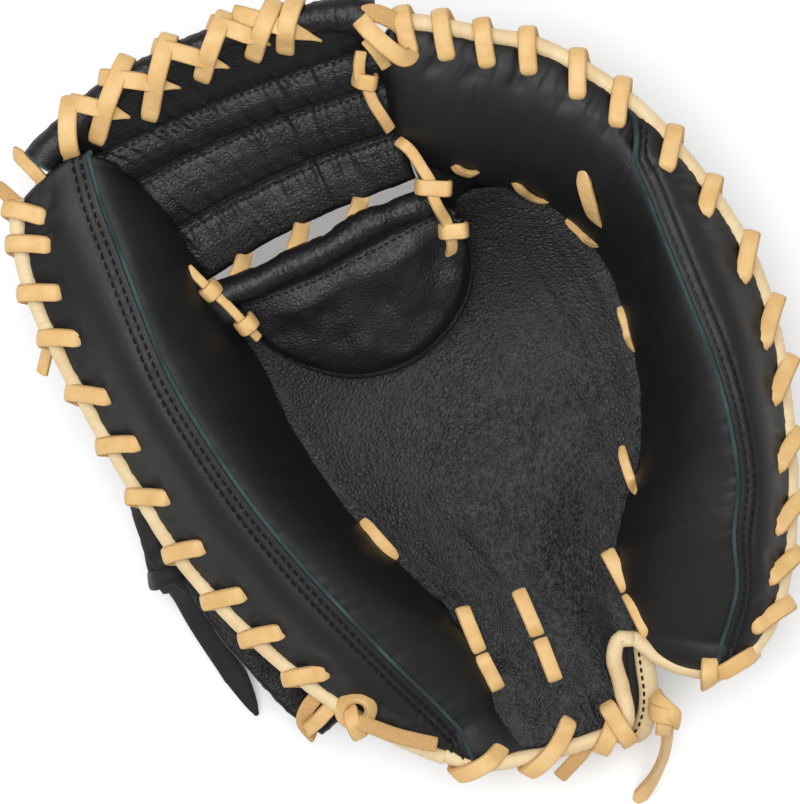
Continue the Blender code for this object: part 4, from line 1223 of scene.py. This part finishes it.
for prefix, side, first, last, body in (("thumb", THUMB_RIBS, 7.6, 10.4, "thumb_side"),
                                        ("fingers", FINGER_RIBS, 9.6, 13.4, "finger_side")):
    edge = at([rib[3] for rib in side], np.linspace(first, last, 40))
    line = even(edge + unit(((10, -95, 0) - edge) * (1, 1, 0)) * 3.2 + Z * 2.6, 60)
    piece = tube("wrist_binding_" + prefix, line, lambda q, a: 2.3 + 0.1 * noise(q / 5, a, 131), CREAM)
    belongs(piece, body, "wrist_piping_" + prefix)


# ---- Padding and lining inside -------------------------------------------------------------------

def soft_copy(node, name, body, voxel=2.6, rounds=8, sink=1.8):
    """The CAD padding's shape again, rounded, slightly uneven, and a little under the leather."""
    obj = linked(name, bpy.data.objects[node].data.copy())
    remesh = obj.modifiers.new("remesh", "REMESH")
    remesh.mode, remesh.voxel_size = "VOXEL", voxel * MM
    soften = obj.modifiers.new("smooth", "SMOOTH")
    soften.iterations, soften.factor = rounds, 0.5
    apply(obj)
    mesh = obj.data
    points, normals = (np.empty(len(mesh.vertices) * 3, np.float32) for k in range(2))
    mesh.vertices.foreach_get("co", points)
    mesh.vertex_normals.foreach_get("vector", normals)
    points, normals = points.reshape(-1, 3), normals.reshape(-1, 3)
    points += normals * ((0.5 * layered(points[:, 0] * 60, points[:, 1] * 60, 141) - sink) * MM)[:, None]
    mesh.vertices.foreach_set("co", points.ravel())
    mesh.materials.clear()
    mesh.materials.append(FELT)
    mesh.shade_smooth()
    belongs(obj, body, node, fill=0.6)


soft_copy("thumb_pad", "thumb_padding", "thumb_side")
soft_copy("finger_pad", "finger_padding", "finger_side")
soft_copy("palm_felt", "palm_padding", None)
grid = np.stack([on_palm(w, np.linspace(0.03, 0.97, 70)) for w in np.linspace(-0.1, 7.9, 110)]) - Z * 13
grid = displaced(grid, 0.6 * layered(grid[..., 0] / 18, grid[..., 1] / 22, 151))
belongs(slab("palm_lining_sheet", grid, 1.6, LINING), None, "palm_lining")


# ---- Stage, light and camera ---------------------------------------------------------------------

FLOOR_SIDE, FLOOR_DROP = 8, 0.0006
floor_mesh = bpy.data.meshes.new("studio_floor")
corners = [(x * FLOOR_SIDE, y * FLOOR_SIDE, -FLOOR_DROP) for x, y in ((-1, -1), (1, -1), (1, 1), (-1, 1))]
floor_mesh.from_pydata(corners, [], [(0, 1, 2, 3)])
floor_mesh.materials.append(Look("pale_floor").finish(
    None, Base_Color=(0.9, 0.9, 0.9), Roughness=0.9, Specular_IOR_Level=0.1, Emission_Color=(1.0, 1.0, 1.0),
    Emission_Strength=0.22))
linked("studio_floor", floor_mesh)

world = bpy.data.worlds.new("studio")
world.use_nodes = True
world.node_tree.nodes["Background"].inputs["Color"].default_value = (1, 1, 1, 1)
world.node_tree.nodes["Background"].inputs["Strength"].default_value = 0.24
bpy.context.scene.world = world
bpy.context.scene.view_settings.view_transform = "Standard"

AIM = np.array((0, 0, 0.05))
SOFTBOXES = (("top", (-0.1, 0.15, 2.3), (1.4, 1.4), 44), ("key", (-0.95, 0.6, 1.2), (0.5, 0.5), 2.5),
             ("side", (1.05, 0.25, 1.1), (0.4, 0.7), 1.5), ("front", (-0.2, -1.1, 1.2), (0.9, 0.4), 1))
for name, place, size, power in SOFTBOXES:
    lamp = bpy.data.lights.new(name + "_softbox", "AREA")
    lamp.shape, lamp.size, lamp.size_y, lamp.energy = "RECTANGLE", size[0], size[1], power
    obj = linked(name + "_softbox", lamp)
    obj.location = place
    to = AIM - place
    obj.rotation_euler = (math.atan2(math.hypot(to[0], to[1]), -to[2]), 0,
                          math.atan2(to[1], to[0]) - math.pi / 2)

camera = linked("camera", bpy.data.cameras.new("camera"))
camera.data.sensor_fit, camera.data.sensor_height, camera.data.lens = "VERTICAL", 36.0, 179.7
camera.data.clip_end = 50
camera.location = (-0.0137, 0.0027, 1.5071)
camera.rotation_euler = (0, 0, math.radians(-30))
bpy.context.scene.camera = camera
